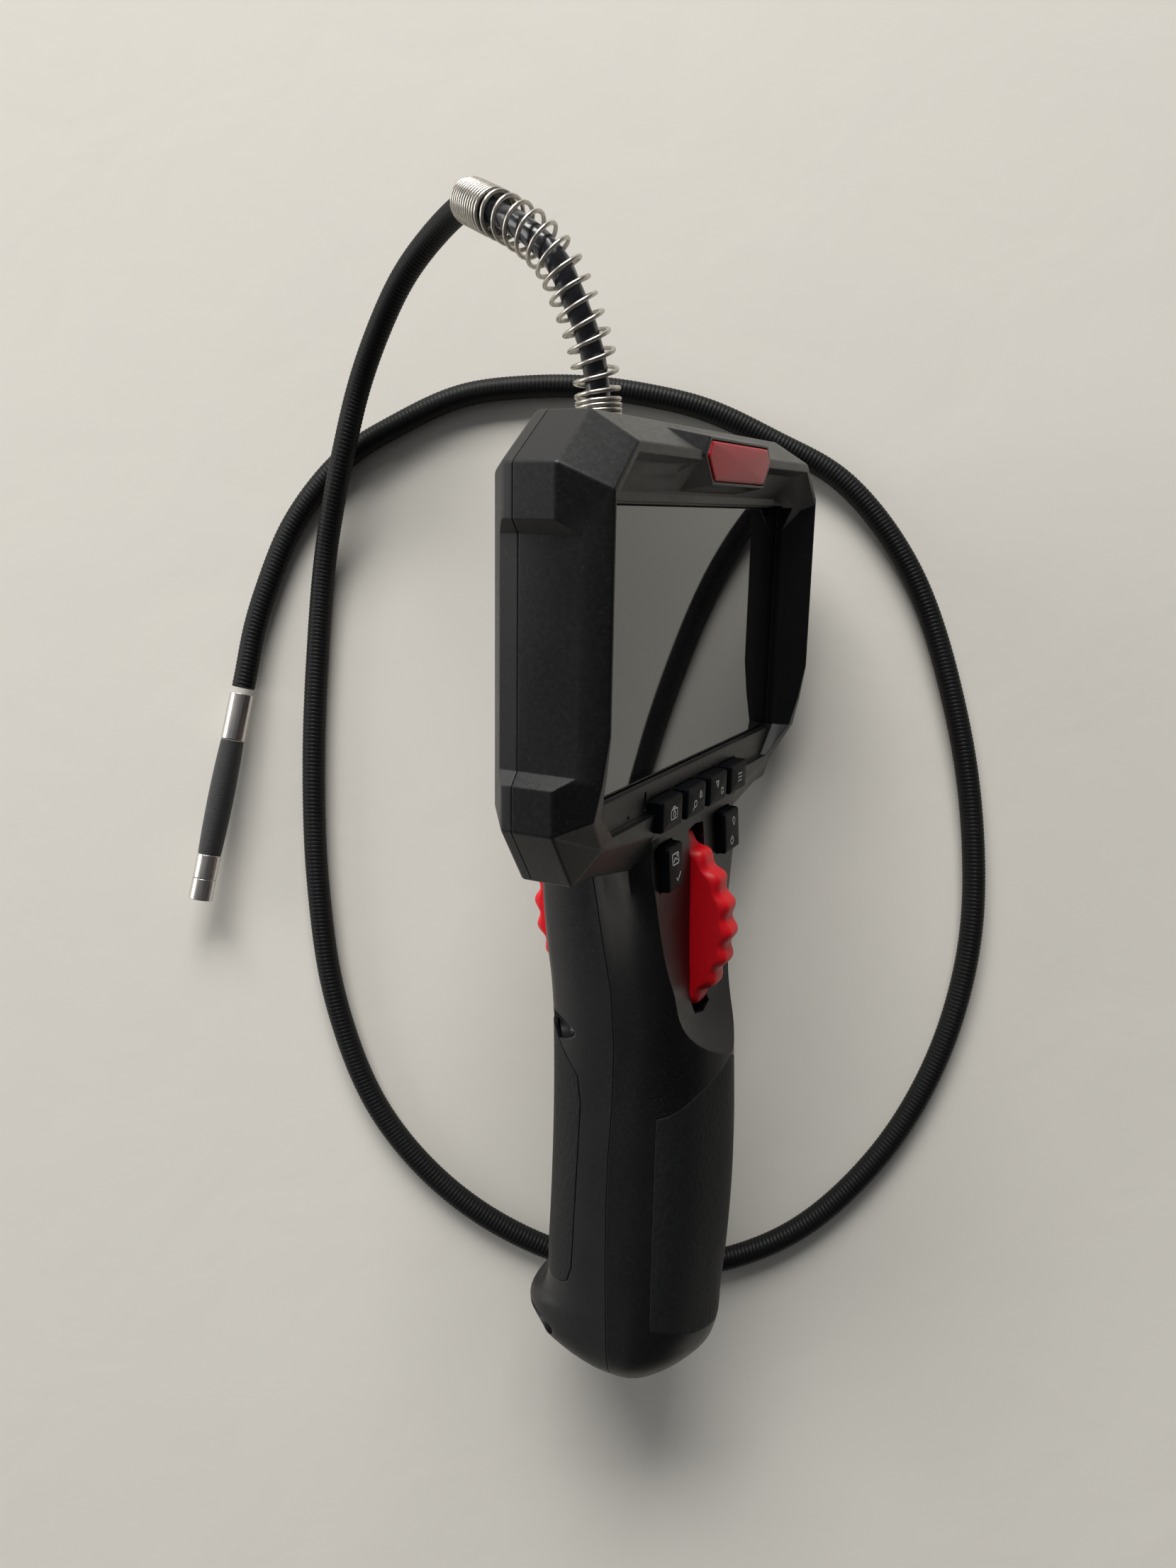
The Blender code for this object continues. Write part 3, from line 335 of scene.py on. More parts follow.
# --------------------------------------------------------- finishing pieces
def own_place(mesh):
    """Keeps each point's place in its own axes, so a surface pattern follows the piece."""
    places = np.empty(len(mesh.vertices) * 3, dtype=np.float32)
    mesh.vertices.foreach_get("co", places)
    layer = mesh.attributes.new("own_place", "FLOAT_VECTOR", "POINT")
    layer.data.foreach_set("vector", places)


def piece(ob, name, look, body="handset", matrix=HAND, smooth=32.0, replaces=None,
          weighted=True):
    """Names, paints, shades and places a finished piece, and tells the frame about it."""
    ob.name = name
    ob.data.name = name
    ob.data.materials.clear()
    ob.data.materials.append(LOOKS[look])
    ob.data.shade_smooth()
    ob.data.set_sharp_from_angle(angle=math.radians(smooth))
    if weighted:
        modifier = ob.modifiers.new("weighted", "WEIGHTED_NORMAL")
        modifier.keep_sharp = True
        modifier.weight = 60
    own_place(ob.data)
    ob.data.transform(matrix)
    ob.matrix_world = Matrix.Identity(4)
    bpy.context.view_layer.update()
    if body:
        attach(ob, body)
    if replaces:
        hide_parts(replaces)


# --------------------------------------------------------- material helpers
def plug(tree, node, inputs):
    """Sets inputs, by socket name or index, to values or to other nodes' outputs."""
    for key, value in inputs.items():
        socket = node.inputs[key]
        if hasattr(value, "is_output"):
            tree.links.new(value, socket)
        elif isinstance(value, tuple) and socket.type == "RGBA":
            socket.default_value = (*value, 1.0)
        else:
            socket.default_value = value


def add_node(tree, kind, inputs=None, **settings):
    node = tree.nodes.new("ShaderNode" + kind)
    for key, value in settings.items():
        setattr(node, key, value)
    plug(tree, node, inputs or {})
    return node


def tint(rgb, gain, lift=0.0):
    return tuple(min(1, c * gain + lift) for c in rgb)


class Shader:
    """A Principled material, with short calls for the nodes that feed it."""

    def __init__(self, name):
        self.material = bpy.data.materials.new(name)
        self.material.use_nodes = True
        self.tree = self.material.node_tree
        self.tree.nodes.clear()
        self.principled = self.node("BsdfPrincipled")
        self.node("OutputMaterial", {0: self.principled.outputs[0]})

    def node(self, kind, inputs=None, **settings):
        return add_node(self.tree, kind, inputs, **settings)

    def finish(self, **inputs):
        """Sets the Principled inputs and returns the material."""
        named = {key.replace("_", " "): value for key, value in inputs.items()}
        plug(self.tree, self.principled, named)
        return self.material

    def coords(self, scale=(1, 1, 1)):
        place = self.node("Attribute", attribute_name="own_place")
        return self.node("Mapping", {0: place.outputs["Vector"], 3: scale}).outputs[0]

    def math(self, operation, a, b=0.0, c=0.0, clamp=False):
        return self.node("Math", {0: a, 1: b, 2: c}, operation=operation,
                         use_clamp=clamp).outputs[0]

    def scaled(self, value, gain, base, clamp=False):
        return self.math("MULTIPLY_ADD", value, gain, base, clamp)

    def centred(self, noise, gain, base, clamp=False):
        """Base, varied by a noise about its mean."""
        return self.scaled(self.math("SUBTRACT", noise, 0.5), gain, base, clamp)

    def ramp(self, value, start, end, peak=1.0):
        """0 up to start, rising to peak at end."""
        node = self.node("ValToRGB", {0: value})
        stops = ((start, 0.0), (end, peak))
        for element, (position, grey) in zip(node.color_ramp.elements, stops):
            element.position = position
            element.color = (grey, grey, grey, 1)
        return node.outputs[0]

    def mix(self, factor, a, b):
        return self.node("Mix", {0: factor, 6: a, 7: b}, data_type="RGBA",
                         clamp_factor=True).outputs[2]

    def noise(self, place, scale, detail=2.0, rough=0.5, distort=0.0, output=0):
        """Noise value, or its colour with output=1."""
        return self.node("TexNoise", {"Vector": place, "Scale": scale, "Detail": detail,
                                      "Roughness": rough, "Distortion": distort}).outputs[output]

    def bump(self, height, strength, depth, normal=None):
        inputs = {"Height": height, "Strength": strength, "Distance": depth}
        if normal is not None:
            inputs["Normal"] = normal
        return self.node("Bump", inputs).outputs[0]

    def round_normal(self, radius):
        """Normal with edges rounded to the radius, in metres."""
        return self.node("Bevel", {"Radius": radius}, samples=4).outputs[0]

    def edge_mask(self, normal):
        """Above 0 where the rounded normal leaves the true one."""
        true_normal = self.node("NewGeometry").outputs["Normal"]
        dot = self.node("VectorMath", {0: normal, 1: true_normal}, operation="DOT_PRODUCT")
        return self.math("SUBTRACT", 1.0, dot.outputs["Value"], clamp=True)


# ---------------------------------------------------------------- materials
def plastic(name, rgb, rough=0.5, grain=(3200.0, 0.25, 0.00004), vary=0.18, edge_r=0.0004,
            edge_light=1.6, edge_amount=0.6, spec=0.5, dust=0.0):
    """Moulded plastic with edges painted lighter, partly wear and partly painted highlight; grain
    is (scale, strength, depth).
    """
    t = Shader(name)
    place = t.coords()
    broad = t.noise(place, scale=45.0, detail=4.0, rough=0.6)
    fine = t.noise(place, scale=900.0, detail=3.0, rough=0.6)
    color = t.mix(t.ramp(broad, start=0.3, end=0.7), tint(rgb, 1 - vary), tint(rgb, 1 + vary))
    color = t.mix(t.ramp(fine, start=0.45, end=0.75, peak=0.35), color,
                  tint(rgb, gain=1.25, lift=0.004))
    normal = t.round_normal(edge_r)
    # Edges painted lighter: partly wear, partly painted highlight.
    if edge_amount:
        edge_wear_and_highlight = t.math("MULTIPLY", t.ramp(t.edge_mask(normal), start=0.02, end=0.22),
                      t.scaled(fine, gain=0.8, base=0.25))
        color = t.mix(t.math("MULTIPLY", edge_wear_and_highlight, edge_amount, clamp=True), color,
                      tint(rgb, edge_light, lift=0.012))
    if dust:
        specks = t.ramp(t.noise(place, scale=2600.0, detail=1.0), start=0.66, end=0.74)
        patches = t.ramp(t.noise(place, scale=30.0), start=0.45, end=0.7, peak=dust)
        color = t.mix(t.math("MULTIPLY", specks, patches), color, (0.30, 0.29, 0.27))
    roughness = t.centred(fine, gain=0.22, base=rough)
    roughness = t.centred(broad, gain=0.16, base=roughness, clamp=True)
    grain_scale, grain_strength, grain_depth = grain
    height = t.noise(place, grain_scale, rough=0.55)
    return t.finish(Base_Color=color, Roughness=roughness, IOR=1.5, Coat_Roughness=0.08,
                    Normal=t.bump(height, grain_strength, grain_depth, normal),
                    Specular_IOR_Level=spec)


def rubber(name, rgb):
    """Soft rubber with a drawn-out pebble grain."""
    t = Shader(name)
    place = t.coords(scale=(1.0, 1.0, 0.55))
    warp = t.noise(place, scale=420.0, output=1)
    warp_size = (0.0011, 0.0011, 0.0011)
    warped = t.node("VectorMath", {0: warp, 1: warp_size, 2: place}, operation="MULTIPLY_ADD")
    cell = t.node("TexVoronoi", {"Vector": warped.outputs[0]}, feature="SMOOTH_F1")
    plug(t.tree, cell, {"Scale": 1250.0, "Smoothness": 0.6})
    cell = cell.outputs[0]
    broad = t.noise(place, scale=60.0, detail=4.0, rough=0.6)
    fine = t.noise(place, scale=2600.0, rough=0.6)
    height = t.scaled(fine, gain=0.35, base=t.math("SUBTRACT", 1.0, cell))
    normal = t.round_normal(0.0004)
    # Painted shade in the grooves between the pebbles and painted highlight on their tops.
    color = t.mix(t.ramp(cell, start=0.15, end=0.75), tint(rgb, 1.25), tint(rgb, 0.6))
    # Painted highlight: edges lighter where the rounded normal turns.
    edge = t.math("MULTIPLY", t.ramp(t.edge_mask(normal), start=0.02, end=0.25), 0.35)
    color = t.mix(edge, color, tint(rgb, gain=2.0, lift=0.01))
    return t.finish(Base_Color=color,
                    Roughness=t.centred(broad, gain=0.25, base=0.66, clamp=True),
                    Normal=t.bump(height, strength=0.75, depth=0.00012, normal=normal),
                    Specular_IOR_Level=0.42)


def metal(name, rgb, rough=0.2, brush=(1, 1, 1), tarnish=0.25, streak=2500.0):
    """Bright metal with drawn marks along one direction, light tarnish and fingerprints."""
    t = Shader(name)
    marks = t.noise(t.coords(scale=brush), streak, detail=3.0, rough=0.65)
    broad = t.noise(t.coords(), scale=160.0, detail=3.0, rough=0.6)
    color = t.mix(t.ramp(marks, start=0.3, end=0.7), tint(rgb, 0.78), tint(rgb, 1.12))
    browned = (rgb[0] * 0.62, rgb[1] * 0.54, rgb[2] * 0.45)
    color = t.mix(t.ramp(broad, start=0.45, end=0.8, peak=tarnish), color, browned)
    roughness = t.scaled(marks, gain=0.18, base=rough - 0.07)
    roughness = t.scaled(broad, gain=0.14, base=roughness, clamp=True)
    normal = t.bump(marks, strength=0.12, depth=0.00002, normal=t.round_normal(0.00012))
    return t.finish(Base_Color=color, Metallic=1.0, Roughness=roughness, Normal=normal)


def glass_material():
    """Black-backed cover glass: a printed border, and the dead panel a shade lighter inside it."""
    t = Shader("screen_cover_glass")
    place = t.coords()
    axes = t.node("SeparateXYZ", {0: place}).outputs
    from_side = t.math("ABSOLUTE", axes[0])
    from_middle = t.math("ABSOLUTE", t.math("ADD", axes[2], 0.0007))
    panel = t.math("MULTIPLY", t.math("LESS_THAN", from_side, 0.0525),
                   t.math("LESS_THAN", from_middle, 0.0266))
    smear = t.noise(place, scale=38.0, detail=3.0, rough=0.6, distort=0.8)
    color = t.mix(panel, (0.003, 0.003, 0.0035), (0.010, 0.0105, 0.011))
    specks = t.ramp(t.noise(place, scale=2400.0, detail=1.0), start=0.70, end=0.76)
    color = t.mix(t.math("MULTIPLY", specks, 0.15), color, (0.25, 0.25, 0.24))
    return t.finish(Base_Color=color, Roughness=t.scaled(smear, gain=0.03, base=0.012), IOR=1.95,
                    Normal=t.bump(t.noise(place, scale=24.0), strength=0.02, depth=0.0002),
                    Coat_Weight=0.25, Coat_Roughness=0.02)


def badge_material():
    """Glossy red, with painted shade darkening its rounded edges."""
    t = Shader("badge_gloss_red")
    place = t.coords()
    broad = t.noise(place, scale=55.0, detail=3.0, rough=0.6)
    color = t.mix(broad, (0.38, 0.003, 0.014), (0.50, 0.006, 0.022))
    normal = t.round_normal(0.0006)
    # Painted shade on the rounded edges.
    edge = t.ramp(t.edge_mask(normal), start=0.01, end=0.3, peak=0.55)
    color = t.mix(edge, color, (0.12, 0.002, 0.008))
    normal = t.bump(t.noise(place, scale=70.0), strength=0.06, depth=0.0006, normal=normal)
    return t.finish(Base_Color=color, Roughness=t.scaled(broad, gain=0.06, base=0.16), IOR=1.5,
                    Normal=normal, Coat_Weight=0.06, Coat_Roughness=0.06,
                    Specular_IOR_Level=0.12)


def run_axes(t):
    """The two values of the uv map laid along a swept or turned piece."""
    run = t.node("UVMap", uv_map="run").outputs[0]
    return t.node("SeparateXYZ", {0: run}).outputs


def tube_material():
    """Black sheath with lighter patches on the crests of its ribs, partly dust and partly painted
    highlight.
    """
    t = Shader("ribbed_sheath")
    place = t.coords()
    crest = run_axes(t)[0]
    broad = t.noise(place, scale=28.0, detail=4.0, rough=0.6)
    fine = t.noise(place, scale=1500.0, detail=3.0, rough=0.6)
    color = t.mix(broad, (0.0035, 0.0036, 0.0038), (0.0065, 0.0067, 0.007))
    # Lighter patches on the rib crests: partly dust, partly painted highlight.
    patches = t.ramp(t.noise(place, scale=60.0, detail=3.0), start=0.45, end=0.75, peak=0.5)
    crest_dust_and_highlight = t.math("MULTIPLY", patches, t.ramp(fine, start=0.45, end=0.7))
    color = t.mix(t.math("MULTIPLY", crest_dust_and_highlight, crest), color, (0.03, 0.03, 0.029))
    roughness = t.scaled(fine, gain=0.25, base=0.30)
    roughness = t.scaled(broad, gain=0.15, base=roughness, clamp=True)
    return t.finish(Base_Color=color, Roughness=roughness, IOR=1.5, Specular_IOR_Level=0.2,
                    Normal=t.bump(fine, strength=0.2, depth=0.00004))


def core_material():
    t = Shader("glossy_sleeve")
    place = t.coords()
    swirl = t.noise(place, scale=260.0, detail=3.0, rough=0.6, distort=1.5)
    fine = t.noise(place, scale=1800.0)
    return t.finish(Base_Color=t.mix(swirl, (0.006, 0.006, 0.008), (0.02, 0.02, 0.026)),
                    Roughness=t.scaled(fine, gain=0.2, base=0.12, clamp=True),
                    Coat_Weight=0.25, Coat_Roughness=0.16,
                    Normal=t.bump(swirl, strength=0.35, depth=0.0003))


def knit_material():
    """Fine braid: crossing diagonal threads laid out around and along the sleeve."""
    t = Shader("braided_sleeve")
    around, along = run_axes(t)[:2]

    def threads(operation, a, b, slant, pitch):
        """Waves of a given pitch (mm), slanted by a share of the other direction."""
        place = t.math(operation, a, t.math("MULTIPLY", b, slant))
        return t.math("SINE", t.math("MULTIPLY", place, 2 * math.pi / pitch))

    rows = threads("ADD", along, around, slant=0.45, pitch=0.42)
    columns = threads("SUBTRACT", around, along, slant=0.25, pitch=0.55)
    weave = t.scaled(t.math("MULTIPLY", rows, columns), gain=0.35,
                     base=t.scaled(rows, gain=0.25, base=0.5))
    place = t.coords()
    fine = t.noise(place, scale=4000.0)
    broad = t.noise(place, scale=120.0, detail=3.0)
    # Painted shade between the threads and painted highlight on their tops.
    color = t.mix(t.ramp(weave, start=0.2, end=0.9), (0.004, 0.004, 0.005), (0.026, 0.027, 0.029))
    color = t.mix(t.math("MULTIPLY", broad, 0.3), color, (0.012, 0.013, 0.014))
    height = t.scaled(fine, gain=0.15, base=weave)
    return t.finish(Base_Color=color, Roughness=t.scaled(fine, gain=0.2, base=0.42, clamp=True),
                    Sheen_Weight=0.15, Sheen_Roughness=0.4,
                    Normal=t.bump(height, strength=0.9, depth=0.00016))


def lens_material():
    t = Shader("coated_lens")
    cloud = t.noise(t.coords(), scale=800.0)
    return t.finish(Base_Color=t.mix(cloud, (0.01, 0.012, 0.03), (0.03, 0.02, 0.06)),
                    Roughness=t.scaled(cloud, gain=0.04, base=0.02),
                    Coat_Weight=1.0, Coat_Roughness=0.02)


def table_material():
    t = Shader("pale_table")
    place = t.coords()
    broad = t.noise(place, scale=3.2, detail=4.0, rough=0.55)
    fine = t.noise(place, scale=420.0, detail=3.0, rough=0.6)
    middle = t.noise(place, scale=22.0, detail=4.0, rough=0.55, distort=0.6)
    color = t.mix(broad, (0.66, 0.638, 0.582), (0.73, 0.706, 0.648))
    color = t.mix(t.math("MULTIPLY", middle, 0.25), color, (0.63, 0.61, 0.575))
    height = t.scaled(fine, gain=0.02, base=t.math("MULTIPLY", middle, 0.6))
    return t.finish(Base_Color=color, Roughness=t.scaled(fine, gain=0.1, base=0.55),
                    Normal=t.bump(height, strength=0.12, depth=0.004), Specular_IOR_Level=0.25)


LOOKS = {
    # The two case halves are one black plastic: the front half is painted darker as painted shade,
    # the rear half lighter as painted light.
    "shell_front_painted_darker": plastic("case_plastic_painted_darker", (0.0043, 0.0045, 0.0050), rough=0.37,
                           grain=(4200.0, 0.35, 0.00005), edge_amount=0.8, edge_light=3.0,
                           spec=0.36, dust=0.14),
    "shell_rear_painted_lighter": plastic("case_plastic_painted_lighter", (0.0130, 0.0132, 0.0134), rough=0.42,
                          grain=(4200.0, 0.28, 0.00004), edge_amount=0.7, edge_light=2.5,
                          spec=0.38, dust=0.14),
    "key": plastic("key_caps", (0.0024, 0.0030, 0.0044), rough=0.42,
                   grain=(3600.0, 0.22, 0.00003), edge_r=0.0003, edge_amount=0.3,
                   edge_light=1.8, spec=0.06),
    "red": plastic("wheel_red", (0.70, 0.004, 0.012), rough=0.42, grain=(2600.0, 0.12, 0.00003),
                   vary=0.06, edge_r=0.0005, edge_light=1.1, edge_amount=0.25, spec=0.35),
    "inner": plastic("inner_plastic", (0.04, 0.04, 0.045), rough=0.55, edge_amount=0.0),
    "icon": plastic("key_print", (0.62, 0.63, 0.64), rough=0.6, grain=(5000.0, 0.1, 0.00001),
                    edge_amount=0.0),
    "pom": plastic("natural_plastic", (0.72, 0.70, 0.65), rough=0.45, edge_amount=0.2),
    "pcb": plastic("circuit_board", (0.02, 0.13, 0.06), rough=0.42, edge_amount=0.2),
    "cell": plastic("cell_wrap", (0.03, 0.11, 0.32), rough=0.35, edge_amount=0.1),
    "membrane": plastic("silicone_mat", (0.28, 0.28, 0.29), rough=0.7, edge_amount=0.1),
    "led": plastic("light_ring", (0.78, 0.76, 0.68), rough=0.3, edge_amount=0.1),
    "grip": rubber("grip_rubber", (0.0052, 0.0060, 0.0066)),
    "steel": metal("turned_steel", (0.72, 0.69, 0.66), brush=(1.0, 1.0, 0.03), tarnish=0.2),
    "nickel": metal("nickel_wire", (0.56, 0.53, 0.48), rough=0.22, tarnish=0.3, streak=900.0),
    "screw": metal("black_oxide", (0.16, 0.16, 0.17), rough=0.34, tarnish=0.3, streak=1200.0),
    "glass": glass_material(),
    "badge": badge_material(),
    "tube": tube_material(),
    "core": core_material(),
    "knit": knit_material(),
    "lens": lens_material(),
}

# ------------------------------------------------------------------- handle
# Sections: z, points (x, y) from the front middle to the parting line, y of the rear middle.
HANDLE = [
    (-38.0, [(0, -20), (12, -18), (20, -14), (24, -10), (26, -6), (24, 0), (21, 2.0)], 24.2),
    (-49.4, [(0, -24), (13, -20), (21, -16), (25.8, -12.3), (30.0, -8), (26, -2), (20, 4.7)],
     24.4),
    (-62.0, [(0, -24), (12, -20.5), (19, -17), (23.2, -12.7), (24.4, -7), (22, -1), (19.2, 4.8)],
     24.3),
    (-75.0, [(0, -23.5), (11, -20.5), (16, -17.6), (19.4, -13.4), (20.8, -7.5), (20, -2),
             (19, 2.4)], 23.3),
    (-86.0, [(0, -23), (9, -20.5), (14, -17.8), (17.4, -14.6), (19.3, -9), (19.3, -4),
             (19, 0.4)], 21.8),
    (-95.0, [(0, -22.9), (8, -20.7), (13, -18), (16.8, -14.6), (19, -9), (19.1, -4),
             (19, -0.4)], 21.1),
    (-104.0, [(0, -23.3), (8, -21.0), (13.4, -17.9), (17, -14), (19, -8.5), (19.1, -4),
              (19, -0.5)], 20.8),
    (-120.0, [(0, -24.0), (8, -21.8), (13.6, -18.5), (17.2, -14.2), (19, -8.5), (19.2, -4),
              (19, 0.0)], 20.6),
    (-137.0, [(0, -24.2), (8, -22.0), (13.6, -18.7), (17.2, -14.3), (19, -8.5), (19.2, -4),
              (19, 0.5)], 20.8),
    (-158.0, [(0, -23.4), (8, -21.2), (13.6, -18.0), (17.2, -13.8), (19, -8.2), (19.2, -4),
              (19, 0.3)], 21.6),
    (-169.0, [(0, -22.6), (8, -20.4), (13.4, -17.4), (17, -13.2), (19, -7.9), (19.1, -4),
              (19, -0.3)], 22.2),
    (-171.6, [(0, -22.6), (8, -20.3), (13.4, -17.3), (17, -13.1), (19, -7.8), (19.1, -4),
              (19, -0.4)], 22.9),
    (-174.3, [(0, -22.5), (8, -20.2), (13.4, -17.1), (17, -12.9), (19, -7.6), (19.1, -3.9),
              (19, -0.5)], 26.7),
    (-178.2, [(0, -21.8), (8, -19.5), (13.3, -16.4), (16.9, -12.4), (18.9, -7.2), (19, -3.7),
              (19, -0.5)], 27.6),
    (-182.4, [(0, -20.2), (8, -18.0), (13.1, -15.1), (16.5, -11.3), (18.5, -6.6), (18.7, -3.4),
              (18.7, -0.5)], 26.0),
    (-185.3, [(0, -18.0), (7.8, -16.0), (12.5, -13.4), (15.8, -10.0), (17.7, -5.9),
              (18.0, -3.2), (18.0, -0.5)], 21.4),
    (-187.8, [(0, -15.2), (7.2, -13.4), (11.5, -11.3), (14.5, -8.6), (16.2, -5.4),
              (16.7, -3.0), (16.8, -0.5)], 15.0),
    (-189.7, [(0, -12.0), (6.2, -10.7), (9.9, -9.2), (12.5, -7.1), (14.1, -4.8), (14.6, -2.8),
              (14.7, -0.7)], 8.8),
    (-190.9, [(0, -8.2), (4.2, -7.4), (6.8, -6.4), (8.7, -5.1), (9.9, -3.6), (10.4, -2.3),
              (10.5, -1.0)], 3.8),
]
# Rear half of a section: share of the half width, share of the way from parting line to rear.
REAR_FORM = [(1.0, 0.22), (0.985, 0.42), (0.93, 0.62), (0.82, 0.80), (0.62, 0.93),
             (0.36, 0.985), (0.0, 1.0)]


def handle_section(front, rear, inward=0.0, coarse=False):
    """Closed (x, y) section of the handle, moved inward; coarse leaves out every other point."""
    width, parting = front[-1]
    form = REAR_FORM
    if coarse:
        front = [front[i] for i in (0, 2, 3, 4)]
        form = [REAR_FORM[i] for i in (1, 3, 5, 6)]
    half = list(front) + [(width * a, parting + (rear - parting) * b) for a, b in form]
    if inward:
        first, last = ((-x, y) for x, y in (half[1], half[-2]))
        path = [first] + half + [last]
        half = []
        for (x0, y0), (x, y), (x1, y1) in zip(path, path[1:], path[2:]):
            length = math.hypot(x1 - x0, y1 - y0)
            half.append((max(x - inward * (y1 - y0) / length, 0.0),
                         y + inward * (x1 - x0) / length))
    return mirror_ring(half)


def handle_skin(heights, inward=0.0):
    """Smooth handle through the given heights."""
    upward = HANDLE[::-1]
    table = [np.array(front + [(rear, 0.0)], float).ravel() for _, front, rear in upward]
    rows = []
    for z, values in zip(heights, catmull_rom([row[0] for row in upward], table, heights)):
        points = values.reshape(-1, 2)
        section = handle_section(points[:-1], points[-1][0], inward)
        rows.append([(x, y, z) for x, y in smooth_ring(section, 88)])
    return loft(rows)


def handle_outer():
    return handle_skin([-190.9, -190.5, -190.0, -189.3] + list(np.arange(-188.6, -166.0, 1.0))
                       + list(np.arange(-165.8, -49.4, 2.8)) + [-49.4, -46.0, -42.0, -38.0])


def handle_inner():
    skipped = (-95.0, -137.0, -171.6)
    return loft([[(x, y, z) for x, y in handle_section(front, rear, WALL, coarse=True)]
                 for z, front, rear in HANDLE if -188 < z < -36 and z not in skipped])


# --------------------------------------------------------------------- head
# Sections at y: points (x, z) of the top's end, the upper side, the lower side, the lower
# corner and the end of the bottom.
HEAD_BAND = [(53.5, 44.9), (66.5, 35.1), (66.5, -32.8), (58, -44.9), (30.6, -48.8)]
HEAD_OUTER = [
    (14.0, [(40, 35), (48.2, 28.5), (48.2, -26), (42, -36), (28, -38)]),
    (9.0, [(47.5, 41.5), (57.6, 33.6), (57.6, -30.8), (51, -41.5), (29.5, -45)]),
    (2.3, HEAD_BAND),
    (-8.7, HEAD_BAND),
]
# Front rim of the head, (x, y, z).
HEAD_CREST = [
    (0, -18.1, 39.2), (52.5, -18.1, 39.2), (62, -18.1, 30.6), (62, -18.1, -13.5),
    (62, -16.8, -22.5), (62, -15.2, -30.0), (52.0, -12.3, -38.3), (48.0, -12.3, -38.8),
    (26.9, -12.2, -41.5), (0, -12.2, -41.5),
]
VOID_BAND = [(51.5, 42.4), (61.9, 34.2), (61.9, -31.4), (55.2, -41.6), (29, -45.6)]
HEAD_INNER = [
    (11.6, [(38, 32.4), (46, 26), (46, -24.5), (40, -33.5), (26, -35.5)]),
    (7.6, [(45.5, 38.8), (55.2, 31.5), (55.2, -29.2), (49, -38.8), (28, -42.5)]),
    (2.3, VOID_BAND),
    (-7.3, VOID_BAND),
]
# Ridge down the back of the head: z, half width, y of its rear.
HUMP = [(-54.0, 19.6, 24.5), (-20.0, 19.4, 25.0), (20.0, 18.8, 25.2), (36.0, 18.0, 25.0),
        (41.5, 16.8, 24.6), (44.9, 15.2, 23.9)]


def head_half(y, points):
    top, upper, lower, corner, bottom = points
    side = upper[0]
    half = [(0, top[1]), top, upper, (side, -13.5), (side, -22.5), lower, corner,
            (corner[0] - 8.0, corner[1] - 0.2), bottom, (0, bottom[1])]
    return [(x, y, z) for x, z in half]


def head_outer():
    halves = [head_half(*row) for row in HEAD_OUTER] + [HEAD_CREST]
    head = loft([mirror_ring(half) for half in halves])
    bm = bmesh_of(head.data)
    bmesh.ops.dissolve_limit(bm, angle_limit=math.radians(0.6), verts=bm.verts, edges=bm.edges)
    bm.to_mesh(head.data)
    bm.free()
    return soften(head, width=0.45, angle=9.0)


def hump_half(width, rear, front):
    return [(0, front), (width + 2.5, front), (width + 0.6, 15.0), (width - 1.6, 20.0),
            (width * 0.70, rear - 1.4), (width * 0.4, rear - 0.2), (0, rear)]


def hump_outer():
    """The ridge, with its shoulders rounded."""
    heights = [-54.0, -40.0, -20.0, 0.0, 20.0, 30.0, 36.0, 39.0, 41.5, 43.2, 44.3, 44.9]
    values = catmull_rom([row[0] for row in HUMP], [row[1:] for row in HUMP], heights)
    rows = []
    for z, (width, rear) in zip(heights, values):
        half = hump_half(width, rear, front=6.0)
        shoulder = catmull_rom(range(5), half[2:], np.linspace(0, 4, 25))
        half[2:] = [tuple(p) for p in shoulder]
        rows.append(mirror_ring([(x, y, z) for x, y in half]))
    return loft(rows)


def hump_inner():
    return loft([mirror_ring([(x, y, min(z, 42.6))
                              for x, y in hump_half(width - WALL, rear - WALL, front=4.0)])
                 for z, width, rear in HUMP])


# ----------------------------------------- key deck, above and round the wheel
# Against z: y of the deck along its middle, its sideways curl, its half width.
DECK_MID = [(-104.0, -25.5), (-100.0, -22.5), (-96.0, -18.8), (-92.0, -15.6), (-88.0, -13.8),
            (-80.0, -13.2), (-70.0, -12.8), (-53.0, -12.3), (-42.0, -11.3), (-36.0, -11.0)]
DECK_CURL = [(-104.0, 0.0), (-96.0, 0.006), (-86.0, 0.0075), (-76.0, 0.002), (-60.0, 0.0),
             (-36.0, 0.0)]
DECK_HALF = [(-104.0, 40.0), (-47.0, 40.0), (-43.0, 26.4), (-36.0, 25.0)]


